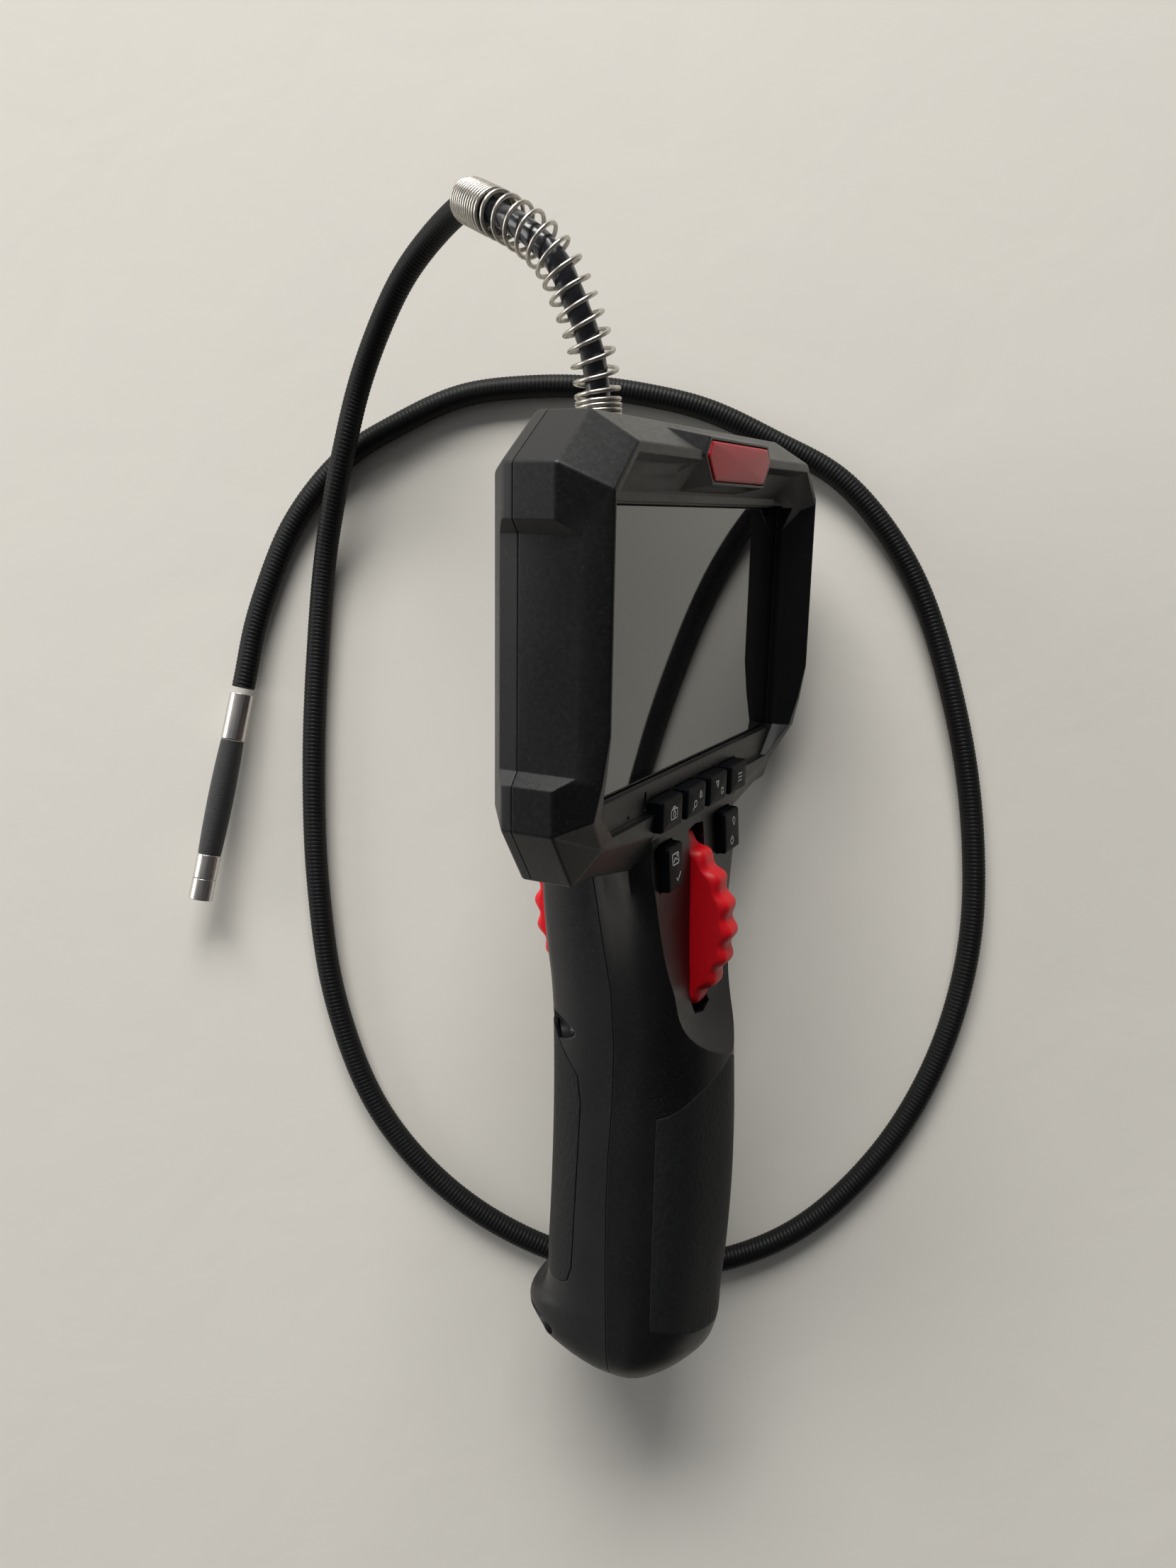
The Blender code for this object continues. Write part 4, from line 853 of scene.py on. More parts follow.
def deck(inward=0.0):
    """Everything in front of the deck; with inward, a wider block that keeps the wall whole."""
    if inward:
        heights = [-36.0, -42.0, -43.0, -47.0, -53.0, -62.0, -70.0, -76.0, -80.0, -84.0, -88.0,
                   -92.0, -96.0, -100.0, -104.0]
        shares = (1.0, 0.55, 0.35, 0.2, 0.1, 0)
    else:
        heights = [-36.0, -39.0, -42.0, -43.0, -45.0, -47.0, -50.0, -53.0]
        heights += [float(z) for z in np.arange(-56.0, -104.1, -1.6)]
        shares = (1.0, 0.7, 0.55, 0.47, 0.4, 0.34, 0.28, 0.22, 0.16, 0.1, 0.05, 0)
    rows = []
    for z in heights:
        width = np.interp(z, *zip(*DECK_HALF)) + (6 if inward else 0)
        middle = curve_value(DECK_MID, z)
        curl = max(curve_value(DECK_CURL, z), 0.0)
        half = [(0, -60.0), (width, -60.0)]
        for x in (width * share for share in shares):
            half.append((x, middle - curl * min(x, 20) ** 2 + inward))
        height = -30.0 if inward and z == -36.0 else z
        rows.append(mirror_ring([(x, y, height) for x, y in half]))
    return loft(rows)


# --------------------------------------------------------- cuts in the case
# Basin round the screen: y, upper half width, top z, lower half width, bottom z.
BASIN = [(-24.0, 61.6, 37.8, 62.0, -37.2), (-18.1, 61.3, 37.3, 61.4, -36.9),
         (-15.0, 58.7, 36.0, 58.8, -36.8), (-12.9, 57.0, 33.0, 57.0, -36.7),
         (-11.0, 56.3, 30.4, 56.3, -36.6)]
# Outlines (x, z), unless noted.
BASIN_FLOOR = [(-47.5, 28.7), (47.5, 28.7), (55.6, 28.7), (55.6, -29.9), (-55.6, -29.9),
               (-55.6, 28.7)]
SIDE_RECESS = [(64.4, 22.6), (66.6, 25.3), (80, 25.3), (80, -24), (66.6, -24), (64.4, -21.4)]
BOSS_BASE = [(-30.0, 34.8), (-17.0, 31.0), (17.0, 31.0), (30.0, 34.8), (24.0, 43.5),
             (-24.0, 43.5)]
BOSS_FACE = [(-20.9, 38.2), (-16.3, 32.4), (16.3, 32.4), (20.9, 38.2), (18.4, 42.0),
             (-18.4, 42.0)]
BADGE_POCKET = [(-20.1, 38.2), (-15.85, 32.95), (15.85, 32.95), (20.1, 38.2), (17.65, 41.45),
                (-17.65, 41.45)]
BADGE = [(-19.8, 38.2), (-15.65, 33.2), (15.65, 33.2), (19.8, 38.2), (17.5, 41.2), (-17.5, 41.2)]
GRIP_FRONT = rounded([
    (-24.0, -118.0), (-24.0, -165.0), (-17.5, -170.8), (-9.0, -174.5), (0.0, -175.6),
    (9.0, -174.5), (17.5, -170.8), (24.0, -165.0), (24.0, -118.0), (12.0, -108.2),
    (0.0, -101.5), (-12.0, -108.2)], 2.0, 4)
GRIP_FRONT_Y = -11.6
# Rear grip from the side, (y, z).
GRIP_REAR = rounded([
    (32.0, -96.4), (17.8, -96.6), (14.1, -101.5), (9.3, -107.0), (8.3, -114.0), (9.1, -134.0),
    (10.2, -160.1), (11.5, -164.2), (14.1, -165.6), (32.0, -166.0)], 1.6, 4)
# Seam between the case halves from the side, (z, y).
PARTING = [(60.0, 0.0), (-44.0, 0.0), (-50.5, 5.9), (-56.0, 5.6), (-70.0, 3.2), (-83.0, 0.6),
           (-97.0, -0.5), (-110.0, -0.5), (-125.0, 0.3), (-139.0, 0.6), (-159.0, 0.3),
           (-184.0, -0.5), (-215.0, -0.5)]
# Wheel slots: z of corners top and bottom, z of middle bottom and top, y from and to.
WHEEL_SLOTS = [
    (-48.8, -90.8, -91.8, -48.2, -40.0, -11.8),
    (-45.4, -92.2, -94.0, -44.8, -11.9, 1.0),
    (-48.8, -91.3, -93.4, -46.4, 10.0, 40.0),
]
# Screw posts: radius and front y of post, radius and floor y of head well, front y of pilot.
HANDLE_POST = (4.1, -30.0, 3.4, 10.0, -7.0)
HEAD_POST = (3.8, 3.6, 2.9, 11.6, 5.2)
CASE_SCREWS = [(15.0, -96.0, HANDLE_POST), (14.4, -180.6, HANDLE_POST), (43.0, 24.0, HEAD_POST),
               (42.0, -27.0, HEAD_POST)]
SCREWS = [((side * x, z), post) for side in (1, -1) for x, z, post in CASE_SCREWS]
# Keys: middle x and z, width, height.
KEYS = {
    "key_camera": (-21.3, -37.25, 11.8, 7.5), "key_zoom": (-7.2, -37.25, 11.8, 7.5),
    "key_rotate": (6.9, -37.25, 11.8, 7.5), "key_menu": (21.0, -37.25, 11.8, 7.5),
    "key_gallery": (-18.7, -50.25, 8.8, 10.5), "key_power": (17.5, -50.25, 10.4, 10.5),
}


def rectangle(x0, x1, z0, z1):
    return [(x0, z0), (x1, z0), (x1, z1), (x0, z1)]


def key_outline(x, z, width, height, radius=0.9):
    a, b = width / 2, height / 2
    return rounded(rectangle(x - a, x + a, z - b, z + b), radius)


def basin():
    rows = []
    for y, upper, top, lower, bottom in BASIN:
        half = [(0, top), (upper - 9.0, top), (upper, top - 8.2), (upper, -22.0),
                (lower, bottom + 7.0), (lower - 9.0, bottom), (0, bottom)]
        rows.append(mirror_ring([(x, y, z) for x, z in half]))
    return loft(rows)


def boss():
    """Raised block above the screen that carries the badge."""
    rings = ((-9.0, BOSS_BASE), (-11.2, BOSS_BASE), (-18.6, BOSS_FACE))
    block = loft([[(x, y, z) for x, z in ring] for y, ring in rings], triangles=False)
    return soften(block, width=0.3, angle=12.0)


def case_void():
    void = head_inner_skin = loft([mirror_ring(head_half(*row)) for row in HEAD_INNER])
    boolean(void, handle_inner(), "UNION")
    boolean(void, hump_inner(), "UNION")
    boolean(void, deck(WALL))
    for place, (post_r, post_y, *_) in SCREWS:
        boolean(void, cylinder(post_r, post_y, 30.0, "y", place, 12))
    return void


def pad(outline, outer, inner, stop, axis):
    """Slice of the handle's skin within an outline, between two inward offsets."""
    heights = np.arange(-182.0, -86.0, 2.4)
    body = handle_skin(heights, outer)
    boolean(body, slab(outline, -60.0, stop, axis), "INTERSECT")
    return boolean(body, handle_skin(heights, inner))


def cut_openings(case):
    boolean(case, slab(rounded(BADGE_POCKET, 1.0, 3), -25.0, -17.3))
    boolean(case, box((-GLASS_HALF_W - GAP, GLASS_HALF_W + GAP), (-30, -5.0),
                      (GLASS_BOTTOM - GAP, GLASS_TOP + GAP)))
    half = WHEEL_HALF_T + 0.6
    for top, bottom, low, high, y0, y1 in WHEEL_SLOTS:
        boolean(case, slab([(-half, top), (-half, bottom), (0, low), (half, bottom),
                            (half, top), (0, high)], y0, y1))
    # Seats of the two grips.
    boolean(case, pad(inset(GRIP_FRONT, -0.12), -1.0, 1.5, GRIP_FRONT_Y + 0.05, "y"))
    boolean(case, pad(inset(GRIP_REAR, -GAP), -1.0, 1.5, 60.0, "x"))
    for x, z, width, height in KEYS.values():
        hole = key_outline(x, z, width + 2 * GAP, height + 2 * GAP, radius=1.0)
        boolean(case, slab(hole, -25, -5))
    # Microphone hole, reset slot, cable exit, port window.
    boolean(case, cylinder(0.45, -20, -9.0, "y", (-37.4, -35.2), 16))
    boolean(case, slab(rounded(rectangle(-29.4, -28.4, -35.6, -31.4), 0.4, 3), -20, -9.8))
    exit_radius = SPRING_R + SPRING_WIRE_R + 0.35
    boolean(case, cylinder(exit_radius, 38.0, 50.0, "z", (0, SPRING_Y), 56))
    boolean(case, box((58.0, 70.0), (-6.0, -1.0), (-12.0, 14.0)))
    for place, (_, _, well_r, well_y, pilot_y) in SCREWS:
        boolean(case, cylinder(well_r, well_y, 40.0, "y", place, 32))
        boolean(case, cylinder(1.5, pilot_y, 13.0, "y", place, 16))


def parting_prism(side):
    """All that lies on one side of the seam: -1 in front, 1 behind."""
    line = [(y + side * PART_GAP / 2, z) for z, y in PARTING]
    far = 80.0 * side
    return slab(line + [(far, -215.0), (far, 60.0)], -90.0, 90.0, "x")


case = head_outer()
boolean(case, handle_outer(), "UNION")
boolean(case, hump_outer(), "UNION")
for side in (1, -1):
    boolean(case, slab([(side * x, z) for x, z in SIDE_RECESS], -40, 40))
boolean(case, basin())
boolean(case, slab(BASIN_FLOOR, -12.0, -9.65))
boolean(case, deck())
boolean(case, boss(), "UNION")
boolean(case, case_void())
cut_openings(case)
rear_case = new_object(case.data.copy())
boolean(case, parting_prism(-1), "INTERSECT")
boolean(rear_case, parting_prism(1), "INTERSECT")
piece(tidy(case), "case_front", "shell_front_painted_darker", replaces="front_shell")
piece(tidy(rear_case), "case_rear", "shell_rear_painted_lighter", replaces="rear_shell")
piece(tidy(pad(GRIP_FRONT, -0.03, 1.1, GRIP_FRONT_Y, "y")), "grip_front", "grip",
      replaces="front_grip")
piece(tidy(pad(GRIP_REAR, -0.1, 1.1, 60.0, "x")), "grip_back", "grip",
      replaces="rear_grip")

# --------------------------------------------------------- screen and badge
glass_outline = rounded(rectangle(-GLASS_HALF_W, GLASS_HALF_W, GLASS_BOTTOM, GLASS_TOP), 0.8, 4)
piece(pillow(glass_outline, back=-7.9, face=GLASS_FACE_Y, fillet=0.22, crown=0.0),
      "screen_cover", "glass", replaces="screen_glass")
piece(pillow(rounded(BADGE, 0.9, 6), back=-17.6, face=-18.9, fillet=0.55, crown=0.25, rings=6),
      "badge_panel", "badge", replaces="badge_insert")


# --------------------------------------------------------------------- keys
def arc(x, z, radius, start=0, stop=360, steps=20):
    angles = [math.radians(start + (stop - start) * i / steps) for i in range(steps + 1)]
    return [(x + radius * math.cos(a), z + radius * math.sin(a)) for a in angles]


# Printed symbols: strokes of (points (x, z) from the key's middle, whether closed).
INK_HALF_W = 0.13
ICONS = {
    "key_camera": [(rounded(rectangle(-1.7, 1.7, -1.2, 1.0), 0.35, 3), True),
                   (arc(0, -0.1, 0.62), True),
                   ([(-0.7, 1.0), (-0.45, 1.5), (0.45, 1.5), (0.7, 1.0)], False)],
    "key_zoom": [(arc(-1.5, -0.6, 0.75), True), ([(-2.05, -1.15), (-2.9, -2.0)], False),
                 ([(0.9, 0.4), (2.5, 0.4), (1.7, 1.9)], True)],
    "key_rotate": [([(-2.4, 1.9), (-0.8, 1.9), (-1.6, 0.4)], True),
                   (arc(1.7, -1.0, 0.75, 20, 320), False),
                   ([(2.0, -1.45), (2.5, -1.2), (2.7, -1.8)], False)],
    "key_menu": [([(-1.3, z), (1.3, z)], False) for z in (0.9, 0.0, -0.9)],
    "key_gallery": [(rounded(rectangle(-2.2, 1.2, 0.9, 3.3), 0.3, 3), True),
                    ([(-1.7, 1.4), (-0.8, 2.4), (-0.2, 1.8), (0.2, 2.1), (0.8, 1.4)], False),
                    (arc(0.4, 2.7, 0.22, steps=10), True),
                    ([(-0.3, -2.4), (0.5, -3.2), (2.1, -1.4)], False)],
    "key_power": [(arc(0.9, 2.4, 0.75, -60, 240), False), ([(0.5, 1.55), (1.3, 1.55)], False),
                  ([(0.6, 1.2), (1.2, 1.2)], False), (arc(-0.6, -2.4, 0.95, 120, 420), False),
                  ([(-0.6, -2.3), (-0.6, -1.1)], False)],
}


def dense_stroke(points, closed):
    """A stroke with points no more than about 0.35 apart."""
    count = len(points)
    dense = []
    for i in range(count if closed else count - 1):
        start, end = Vector(points[i]), Vector(points[(i + 1) % count])
        steps = max(1, int((end - start).length / 0.35))
        dense += [start.lerp(end, j / steps) for j in range(steps)]
    if not closed:
        dense.append(Vector(points[-1]))
    return dense


def printed(surface, strokes, key_x, key_z):
    """Raised ink: thin closed strips that follow the key's surface."""
    bm = bmesh.new()
    for points, closed in strokes:
        line = dense_stroke(points, closed)
        count = len(line)
        rows = []
        for i, p in enumerate(line):
            before = line[i - 1] if closed or i else p
            after = line[(i + 1) % count] if closed or i < count - 1 else p
            along = (after - before).normalized()
            across = Vector((-along.y, along.x)) * INK_HALF_W
            row = []
            for side, lift in ((1, 0.03), (-1, 0.03), (-1, -0.15), (1, -0.15)):
                x, z = key_x + p.x + across.x * side, key_z + p.y + across.y * side
                hit = surface.ray_cast(Vector((x * MM, -0.03, z * MM)), Vector((0, 1, 0)))[0]
                y = (hit.y / MM if hit else KEY_FACE_Y) - lift
                row.append(bm.verts.new(Vector((x, y, z)) * MM))
            rows.append(row)
        for i in range(count if closed else count - 1):
            a, b = rows[i], rows[(i + 1) % count]
            for k in range(4):
                bm.faces.new((a[k], a[(k + 1) % 4], b[(k + 1) % 4], b[k]))
        if not closed:
            bm.faces.new(rows[0][::-1])
            bm.faces.new(rows[-1])
    return object_from(bm)


for key, (key_x, key_z, width, height) in KEYS.items():
    tall = height > 9
    cap = pillow(key_outline(key_x, key_z, width, height), back=-8.0 if tall else -6.7,
                 face=KEY_FACE_Y, fillet=0.75, crown=0.14, draft=0.12, rings=6)
    # The face of a tall key slopes; that of a low key is dished from side to side.
    bm = bmesh_of(cap.data)
    for v in bm.verts:
        x, y, z = v.co / MM
        x, y, z = (c / MM for c in v.co)
        share = min(1.0, max(0.0, (-9.0 - y) / 4.0))
        if tall:
            v.co.y += share * 0.35 * MM * (z - key_z) / (height / 2)
        else:
            v.co.y += share * 0.25 * MM * ((x - key_x) / (width / 2)) ** 2
    bm.to_mesh(cap.data)
    surface = BVHTree.FromBMesh(bm)
    bm.free()
    ink = printed(surface, ICONS[key], key_x, key_z)
    piece(cap, key + "_cap", "key", key, replaces=key)
    piece(ink, key + "_symbol", "icon", key, weighted=False)


# --------------------------------------------------------------- port cover
def port_cover():
    """Rubber flap on the right side; outlines are (y, z)."""
    outline = rounded(rectangle(-6.9, -0.35, -12.8, 14.8), 1.2)
    cover = pillow(outline, back=64.78, face=66.05, fillet=0.35, crown=0.05, axis="x")
    nail_nick = rounded(rectangle(-1.6, 0.3, -2.5, 4.5), 0.6, 4)
    boolean(cover, slab(nail_nick, 65.5, 67.0, "x"))
    for z in (-9.6, 12.0):
        boolean(cover, box((65.7, 67.0), (-5.6, -1.8), (z - 0.25, z + 0.25)))
    return tidy(cover)


piece(port_cover(), "port_flap", "grip", "port_cover", replaces="port_cover")

# -------------------------------------------------------------- thumb wheel
WHEEL_LOBES = 24
LOBE_DEPTH = 1.3
# Rim from the left face to the middle: x, drop in radius, share of the lobe depth.
WHEEL_RIM = [(-4.0, 7.0, 0.0), (-4.0, 2.5, 0.25), (-3.93, 2.05, 0.5), (-3.65, 1.45, 0.75),
             (-3.15, 0.75, 0.95), (-2.6, 0.3, 1.0), (-1.9, 0.08, 1.0), (0.0, 0.0, 1.0)]


def thumb_wheel():
    count = WHEEL_LOBES * 14
    rows = []
    for x, drop, share in WHEEL_RIM + [(-x, *rest) for x, *rest in reversed(WHEEL_RIM[:-1])]:
        row = []
        for i in range(count):
            angle = 2 * math.pi * i / count
            crest = 0.5 + 0.5 * math.cos(WHEEL_LOBES * angle)
            r = WHEEL_R - drop - share * (LOBE_DEPTH * (1.0 - crest))
            row.append((x, WHEEL_Y + r * math.cos(angle), WHEEL_Z + r * math.sin(angle)))
        rows.append(row)
    wheel = loft(rows, triangles=False)
    centre = (WHEEL_Y, WHEEL_Z)
    for low, high in ((3.4, 6.0), (-6.0, -3.4)):
        boolean(wheel, cylinder(14.0, low, high, "x", centre, 96))
    return tidy(boolean(wheel, cylinder(1.9, -10, 10, "x", centre, 40)))


piece(thumb_wheel(), "wheel_disc", "red", "wheel", replaces="thumb_wheel", smooth=40.0)

# ---------------------------------------------------------- cable and spring
# Way points in table millimetres, from the handset outward.
SPRING_PATH = [
    (2.0, 93.9, 69.2), (1.2, 98.9, 71.0), (0.2, 102.5, 72.2), (-1.3, 106.5, 73.6),
    (-4.2, 113.1, 75.2), (-5.7, 116.5, 75.7), (-8.1, 120.1, 75.8), (-11.9, 124.3, 74.8),
    (-16.1, 128.2, 72.4), (-19.0, 130.7, 70.0), (-21.8, 133.4, 66.6), (-24.6, 136.3, 62.8),
    (-27.7, 139.7, 58.0),
]
TUBE_PATH = [
    (-24, 136, 63.4), (-27.5, 139.5, 58), (-37, 139, 43.9), (-47.5, 132, 32.6), (-56, 121, 23),
    (-62.5, 108.5, 16), (-67, 93.5, 12.9), (-71, 78.5, 9.3), (-74.5, 63, 5), (-77, 38.5, 3.4),
    (-78.5, 5, 3.4), (-77.5, -29, 3.4), (-72.5, -63, 3.4), (-59.5, -95.5, 3.4), (-36, -121, 3.4),
    (-5, -137, 3.4), (26, -140.5, 3.4), (58, -131, 3.4), (83.5, -108.5, 3.4), (100.5, -80, 3.4),
    (109.5, -48, 3.4), (110.5, -17, 3.4), (105.5, 19, 3.4), (92, 60.5, 3.4), (72.5, 86, 3.4),
    (53, 97, 3.4), (34, 106, 3.4), (18, 110, 3.4), (0, 112.5, 3.4), (-17, 112.5, 3.4),
    (-36, 110, 3.4), (-55.5, 101, 3.4), (-69, 92.5, 3.4), (-83.5, 74.5, 3.4), (-91.5, 55.5, 3.6),
    (-95, 44, 3.9), (-97, 32.5, 4.6), (-98, 27.5, 4.9),
]
TUBE_R = 3.2
TABLE_TUBE_Z = 3.4              # lowest middle of the sheath
RIB = 1.12                      # rib pitch
RIB_STEP = RIB / 6
CORE_STEP = 0.5
SPRING_START = 17.2             # run of the path where the coils begin
COIL_CLOSE, COIL_OPEN = 1.12, 3.85
COIL_STEPS = 26                 # points per turn


def spline(points, step):
    """Even points along a centripetal curve through the way points."""
    p = [Vector(q) for q in points]
    p = [p[0] * 2 - p[1]] + p + [p[-1] * 2 - p[-2]]
    dense = []
    for i in range(1, len(p) - 2):
        a, b, c, d = p[i - 1:i + 3]
        t1 = (b - a).length ** 0.5
        t2 = t1 + (c - b).length ** 0.5
        t3 = t2 + (d - c).length ** 0.5
        for k in range(24):
            t = t1 + (t2 - t1) * k / 24

            def between(start, end, t_start, t_end):
                span = t_end - t_start
                return start * ((t_end - t) / span) + end * ((t - t_start) / span)

            middle = between(b, c, t1, t2)
            first = between(between(a, b, 0.0, t1), middle, 0.0, t2)
            second = between(middle, between(c, d, t2, t3), t1, t3)
            dense.append(between(first, second, t1, t2))
    dense.append(p[-2])
    run = [0.0]
    for a, b in zip(dense, dense[1:]):
        run.append(run[-1] + (b - a).length)
    count = max(2, round(run[-1] / step))
    out, j = [], 0
    for k in range(count + 1):
        s = run[-1] * k / count
        while j < len(run) - 2 and run[j + 1] < s:
            j += 1
        f = (s - run[j]) / max(run[j + 1] - run[j], 1e-9)
        out.append(dense[j].lerp(dense[j + 1], min(max(f, 0), 1)))
    return out


def soft_path(path, passes):
    """Evens out small kinks of a path, ends kept."""
    points = np.array([tuple(p) for p in path])
    for _ in range(passes):
        points[1:-1] = 0.25 * points[:-2] + 0.5 * points[1:-1] + 0.25 * points[2:]
    return points


def transport(path):
    """Tangents and twist-free side vectors along a path."""
    tangents = np.empty_like(path)
    tangents[1:-1] = path[2:] - path[:-2]
    tangents[0], tangents[-1] = path[1] - path[0], path[-1] - path[-2]
    tangents /= np.linalg.norm(tangents, axis=1)[:, None]
    side = np.array(Vector(tangents[0]).orthogonal().normalized())
    sides = np.empty_like(path)
    for i, tangent in enumerate(tangents):
        side = side - tangent * side.dot(tangent)
        side /= np.linalg.norm(side)
        sides[i] = side
    return tangents, sides


def sweep(path, radius, segments, run=None):
    """Round skin along a path. radius(i, angle) is in mm; run(i, angle) gives a uv layer."""
    tangents, sides = transport(path)
    ups = np.cross(tangents, sides)
    count = len(path)
    angles = np.arange(segments) * 2 * math.pi / segments
    grid = (np.arange(count)[:, None], angles[None, :])
    ones = np.ones((count, segments))
    radii = radius(*grid) * ones
    points = path[:, None, :] + radii[..., None] * (
        sides[:, None, :] * np.cos(angles)[None, :, None]
        + ups[:, None, :] * np.sin(angles)[None, :, None])
    i = np.arange(count - 1)[:, None] * segments
    j = np.arange(segments)[None, :]
    k = (j + 1) % segments
    faces = np.stack([i + j, i + k, i + segments + k, i + segments + j], -1)
    faces = faces.reshape(-1, 4).tolist()
    faces.append(list(range(segments))[::-1])
    faces.append(list(range((count - 1) * segments, count * segments)))
    mesh = bpy.data.meshes.new("part")
    mesh.from_pydata((points.reshape(-1, 3) * MM).tolist(), [], faces)
    if run is not None:
        layer = mesh.uv_layers.new(name="run")
        values = np.stack([(value * ones).ravel() for value in run(*grid)], -1)
        corner = np.empty(len(mesh.loops), int)
        mesh.loops.foreach_get("vertex_index", corner)
        layer.data.foreach_set("uv", values[corner].ravel())
    write_outward(bmesh_of(mesh), mesh)
    return new_object(mesh)


def coil_path(axis):
    """Helix round the axis path (1 mm steps): close coils at both ends, open between."""
    tangents, sides = transport(axis)
    last = len(axis) - 1
    open_from, open_to = SPRING_START + 7 * COIL_CLOSE, last - 12.6
    run, angle = SPRING_START, 0.0
    points = []
    while run < last - 0.3:
        pitch = COIL_CLOSE
        if open_from <= run < open_to:
            share = min((run - open_from) / 3.0, (open_to - run) / 3.0, 1.0)
            pitch = COIL_CLOSE + (COIL_OPEN - COIL_CLOSE) * max(0.25, share)
        i = min(int(run), last - 1)
        f = run - i
        middle, tangent, side = (v[i] * (1 - f) + v[i + 1] * f for v in (axis, tangents, sides))
        tangent /= np.linalg.norm(tangent)
        side -= tangent * side.dot(tangent)
        side /= np.linalg.norm(side)
        up = np.cross(tangent, side)
        points.append(middle + (side * math.cos(angle) + up * math.sin(angle)) * SPRING_R)
        run += pitch / COIL_STEPS
        angle += 2 * math.pi / COIL_STEPS
    return np.array(points)


# Glossy sleeve inside the spring, with three faint flutes winding round it.
cable_exit = [LIE_TURN @ Vector((0, SPRING_Y, z)) + LIE_POS for z in (26.0, 36.0, 45.0)]
core_path = spline(cable_exit + SPRING_PATH, 1.0)
core_fine = soft_path(spline(core_path[:-9], CORE_STEP), 6)
piece(sweep(core_fine, segments=28, radius=lambda i, angle:
            2.75 + 0.10 * np.sin(3 * angle + i * CORE_STEP * 2 * math.pi / 14.0) ** 2),
      "cable_sleeve", "core", matrix=TABLE, replaces="cable_core", weighted=False,
      smooth=50)

coil = coil_path(soft_path(core_path, 2))
coil_count = len(coil)
piece(sweep(coil, segments=12, radius=lambda i, angle:
            SPRING_WIRE_R + 0.02 - 0.2 * ((i < 2) | (i > coil_count - 3))),
      "relief_spring", "nickel", matrix=TABLE, replaces="strain_spring",
      weighted=False, smooth=60)

tube_path = soft_path([(p.x, p.y, max(p.z, TABLE_TUBE_Z)) for p in spline(TUBE_PATH, 1.5)], 10)
tube_path = soft_path(spline(tube_path, RIB_STEP), 4)
tube_count = len(tube_path)


def rib_height(i, angle):
    """0 in the groove and 1 on the crest of the helical rib."""
    phase = (i * RIB_STEP / RIB + angle / (2 * math.pi)) % 1.0
    return np.clip((0.5 - np.abs(phase - 0.5)) / 0.22, 0.0, 1.0) ** 0.7


piece(sweep(tube_path, segments=24, radius=lambda i, angle:
            TUBE_R - 0.19 * (1 - rib_height(i, angle)) - 0.25 * ((i < 1) | (i > tube_count - 2)),
            run=lambda i, angle: (rib_height(i, angle), i * RIB_STEP)),
      "insertion_sheath", "tube", matrix=TABLE, replaces="insertion_tube",
      weighted=False, smooth=60)

# ---------------------------------------------------------------------- tip
TIP_START = Vector((-100.8, 12.7, 6.2))
TIP_END = Vector((-109.5, -32.1, 9.2))
tip_along = (TIP_END - TIP_START).normalized()
tip_side = Vector((0, 0, 1)).cross(tip_along).normalized()
tip_axes = Matrix((tip_side, tip_along.cross(tip_side).normalized(), tip_along)).transposed()
TIP = Matrix.Translation((TIP_START + BASE) * MM) @ tip_axes.to_4x4()

TIP_R, TIP_LEN = 3.25, 46.0
COLLAR = 33.0                   # where the braid meets the camera barrel
HINGES = [1.6 + 5.95 * k for k in range(6)]
# Profiles of the turned pieces: radius, place along the tip.
FERRULE = [(2.0, -13.2), (TIP_R - 0.02, -13.2), (TIP_R + 0.05, -13.0), (TIP_R + 0.05, -0.35),
           (TIP_R - 0.05, -0.12), (TIP_R - 0.25, 0.0), (2.0, 0.05)]
BARREL = [(2.0, COLLAR), (TIP_R - 0.2, COLLAR), (TIP_R, COLLAR + 0.2), (TIP_R, 39.7),
          (TIP_R - 0.08, 39.82), (2.0, 39.82)]
NOSE = [(2.0, 39.95), (TIP_R - 0.08, 39.95), (TIP_R, 40.05), (TIP_R, TIP_LEN - 0.3),
        (TIP_R - 0.1, TIP_LEN - 0.08), (TIP_R - 0.3, TIP_LEN), (2.75, TIP_LEN),
        (2.62, TIP_LEN - 0.12), (2.6, 44.6), (1.0, 44.6)]
LIGHT_RING = [(1.4, 44.8), (2.45, 44.8), (2.45, 45.35), (2.3, 45.5), (1.5, 45.5), (1.4, 45.4)]
LENS = [(0.3, 44.8), (1.28, 44.8), (1.28, 45.45), (1.2, 45.6), (0.9, 45.7), (0.6, 45.76),
        (0.3, 45.79), (0.1, 45.8)]


def circle(radius, z, segments):
    angles = [2 * math.pi * i / segments for i in range(segments)]
    return [(radius * math.cos(a), radius * math.sin(a), z) for a in angles]


def turned(profile, segments=72):
    return loft([circle(radius, z, segments) for radius, z in profile], triangles=False)


def light_ring():
    """Ring round the lens with six small round pits."""
    ring = turned(LIGHT_RING)
    for x, y, _ in circle(1.9, 0, 6):
        boolean(ring, cylinder(0.24, 45.38, 46.2, "z", (x, y), 20))
    return tidy(ring)


piece(turned(FERRULE), "tube_ferrule", "steel", matrix=TIP, replaces="rear_ferrule")
for ob, name, look, replaced in (
        (turned(BARREL), "head_barrel", "steel", "camera_barrel"),
        (turned(NOSE), "head_nose", "steel", "camera_nose"),
        (light_ring(), "light_diffuser", "led", "led_ring"),
        (turned(LENS, 48), "lens", "lens", "lens_window")):
    piece(ob, name, look, "camera_head", TIP, replaces=replaced)

SLEEVE_SEGMENTS = 56
SLEEVE_STEPS = 28
SLEEVE_WALL = 0.55


def sleeve_radius(z):
    """Radius of the braid, which swells towards its middle."""
    return 3.12 + 0.42 * math.sin(math.pi * min(max(z / COLLAR, 0), 1)) ** 0.8


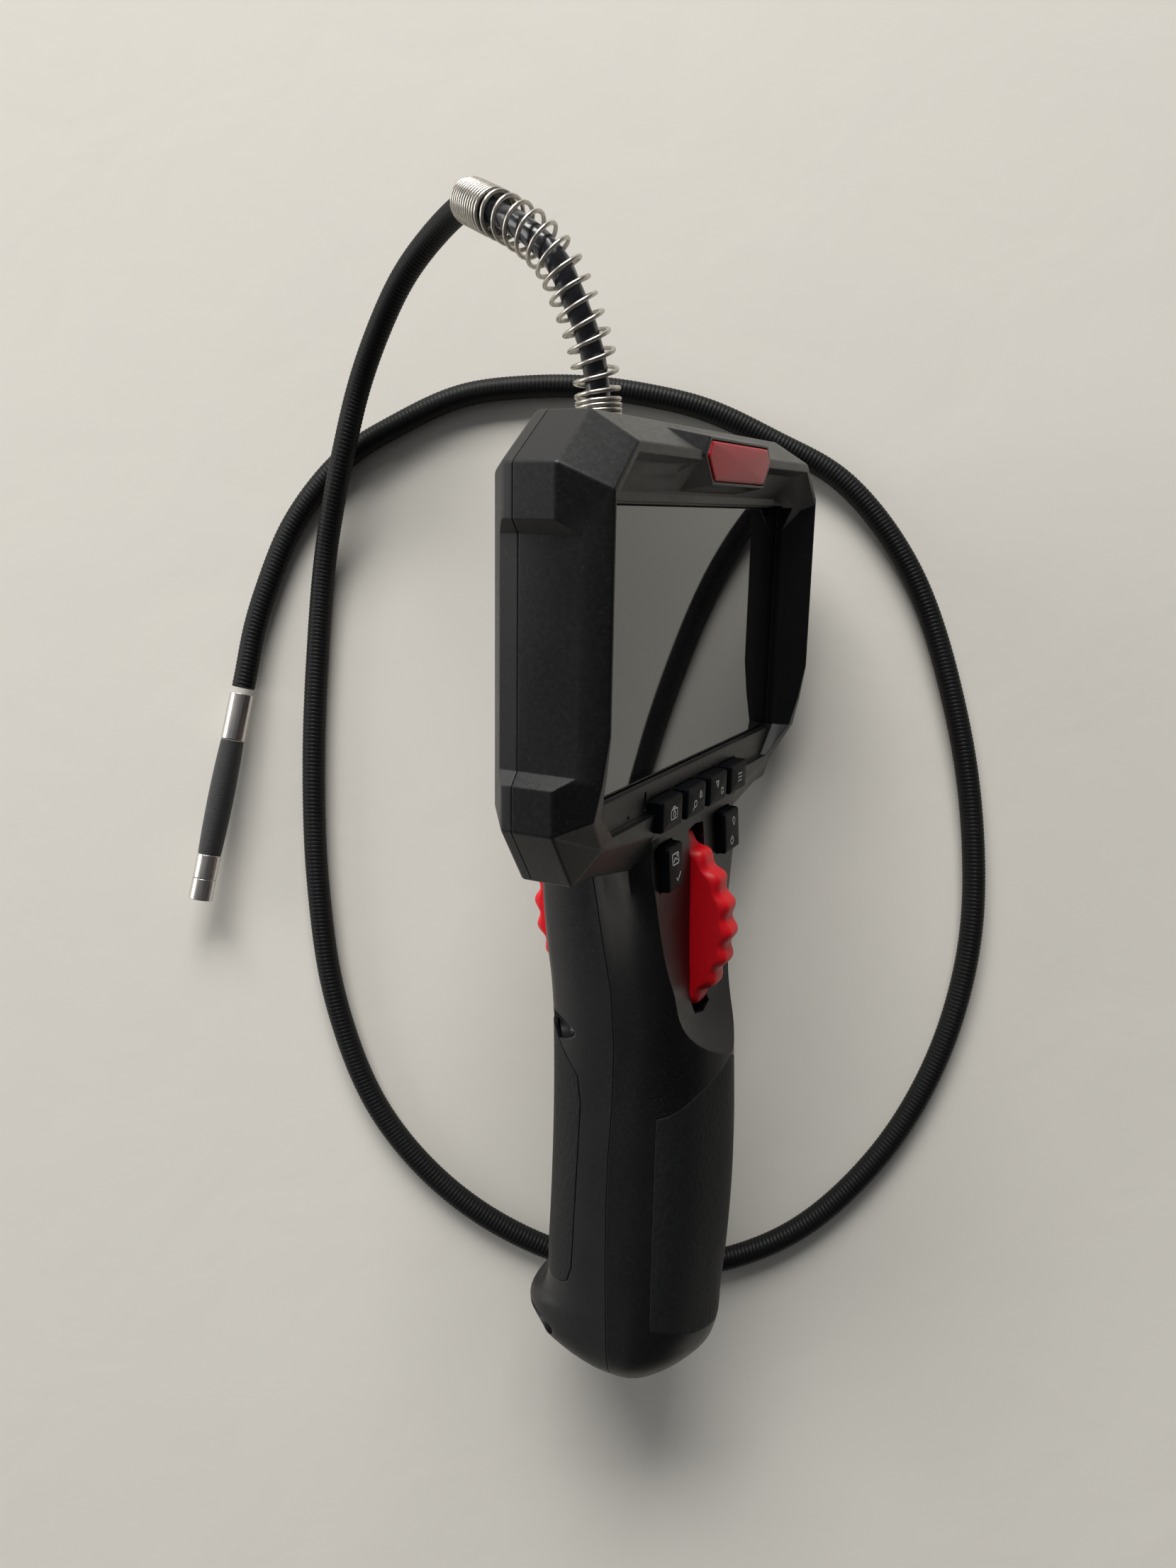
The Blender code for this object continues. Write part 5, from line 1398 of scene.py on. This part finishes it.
def braid(z0, z1):
    """Length of braided sleeve; its uv map holds mm around and along."""
    outer = []
    for i in range(SLEEVE_STEPS + 1):
        z = z0 + (z1 - z0) * i / SLEEVE_STEPS
        outer.append((sleeve_radius(z), z))
    profile = outer + [(r - SLEEVE_WALL, z) for r, z in reversed(outer)]
    bm = bmesh.new()
    uv = bm.loops.layers.uv.new("run")
    rows = [[bm.verts.new(Vector(p) * MM) for p in circle(r, z, SLEEVE_SEGMENTS)]
            for r, z in profile]
    for a in range(len(rows)):
        b = (a + 1) % len(rows)
        for i in range(SLEEVE_SEGMENTS):
            j = (i + 1) % SLEEVE_SEGMENTS
            face = bm.faces.new((rows[a][i], rows[a][j], rows[b][j], rows[b][i]))
            for loop, (row, column) in zip(face.loops, ((a, i), (a, i + 1), (b, i + 1), (b, i))):
                around = column * 2 * math.pi * TIP_R / SLEEVE_SEGMENTS
                loop[uv].uv = (around, profile[row][1])
    return object_from(bm)


# One braid length per hinge, spanning it between the pieces on either side.
cuts = [0.15] + [(a + b) / 2 for a, b in zip(HINGES, HINGES[1:])] + [COLLAR - 0.1]
for k, hinge in enumerate(HINGES):
    last = k == len(HINGES) - 1
    skin = braid(cuts[k], cuts[k + 1])
    piece(skin, "braid_%d" % (k + 1), "knit", body=None, matrix=TIP, weighted=False,
          smooth=60, replaces=None if last else "bend_link_%d" % (k + 1))
    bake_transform(skin)

# ------------------------------------------------- frame parts kept from CAD
KEPT = {
    "lcd_panel": "inner", "keypad_mat": "membrane", "key_board": "pcb", "main_board": "pcb",
    "port_block": "inner", "usb_socket": "steel", "card_socket": "steel", "cable_drum": "pom",
    "wheel_axle": "steel", "bushing_left": "pom", "bushing_right": "pom",
    "wheel_bracket": "screw", "battery_cell": "cell", "battery_tray": "pom",
    "tube_socket": "steel", "pull_wire_rear": "steel", "pull_wire_front": "steel",
}
for name, ob in NODES.items():
    look = "screw" if name.startswith("screw_") else KEPT.get(name)
    if look:
        own_place(ob.data)
        ob.data.materials.clear()
        ob.data.materials.append(LOOKS[look])


# ------------------------------------------------- table, lights and camera
def table_top():
    mesh = bpy.data.meshes.new("table_top")
    bm = bmesh.new()
    bmesh.ops.create_grid(bm, x_segments=24, y_segments=24, size=1.6)
    for v in bm.verts:
        v.co.z = -0.0002
    bm.to_mesh(mesh)
    bm.free()
    mesh.materials.append(table_material())
    own_place(mesh)
    return new_object(mesh, "table_top")


def area_light(name, location, target, width, height, energy, color):
    light = bpy.data.lights.new(name, "AREA")
    light.energy = energy
    light.color = color
    light.shape = "RECTANGLE"
    light.size = width
    light.size_y = height
    ob = new_object(light, name)
    ob.location = location
    aim = Vector(target) - Vector(location)
    ob.rotation_euler = aim.to_track_quat("-Z", "Y").to_euler()


def room():
    """Dim world that brightens smoothly towards one side."""
    world = bpy.data.worlds.new("room")
    world.use_nodes = True
    tree = world.node_tree
    place = add_node(tree, "TexCoord").outputs["Generated"]
    bright_side = (-0.55, 0.75, -0.36)
    facing = add_node(tree, "VectorMath", {0: place, 1: bright_side}, operation="DOT_PRODUCT")
    # Inputs: value, its range from and to, brightness from and to.
    levels = {0: facing.outputs["Value"], 1: -0.9, 2: 0.8, 3: 0.055, 4: 0.34}
    strength = add_node(tree, "MapRange", levels, interpolation_type="SMOOTHSTEP")
    plug(tree, tree.nodes["Background"], {0: (0.96, 0.97, 1.0), 1: strength.outputs[0]})
    return world


def viewpoint():
    camera = bpy.data.cameras.new("viewpoint")
    camera.sensor_width = 36.0
    camera.lens = 27.0325497
    camera.clip_start = 0.01
    ob = new_object(camera, "viewpoint")
    ob.location = (Vector((0.0, 12.459, 340.395)) + BASE) * MM
    ob.rotation_euler = (math.radians(-2.1), 0, 0)
    return ob


table_top()
area_light("window", location=(-0.45, 2.8, 1.8), target=(0, 0, 0.03), width=2.4, height=1.4,
           energy=150.0, color=(1.0, 0.985, 0.955))
area_light("side_fill", location=(-1.9, 0.45, 0.6), target=(0, 0, 0.04), width=1.4, height=0.8,
           energy=15.0, color=(1.0, 0.99, 0.975))
SCENE.world = room()
SCENE.view_settings.view_transform = "Standard"
SCENE.camera = viewpoint()

bpy.context.view_layer.update()
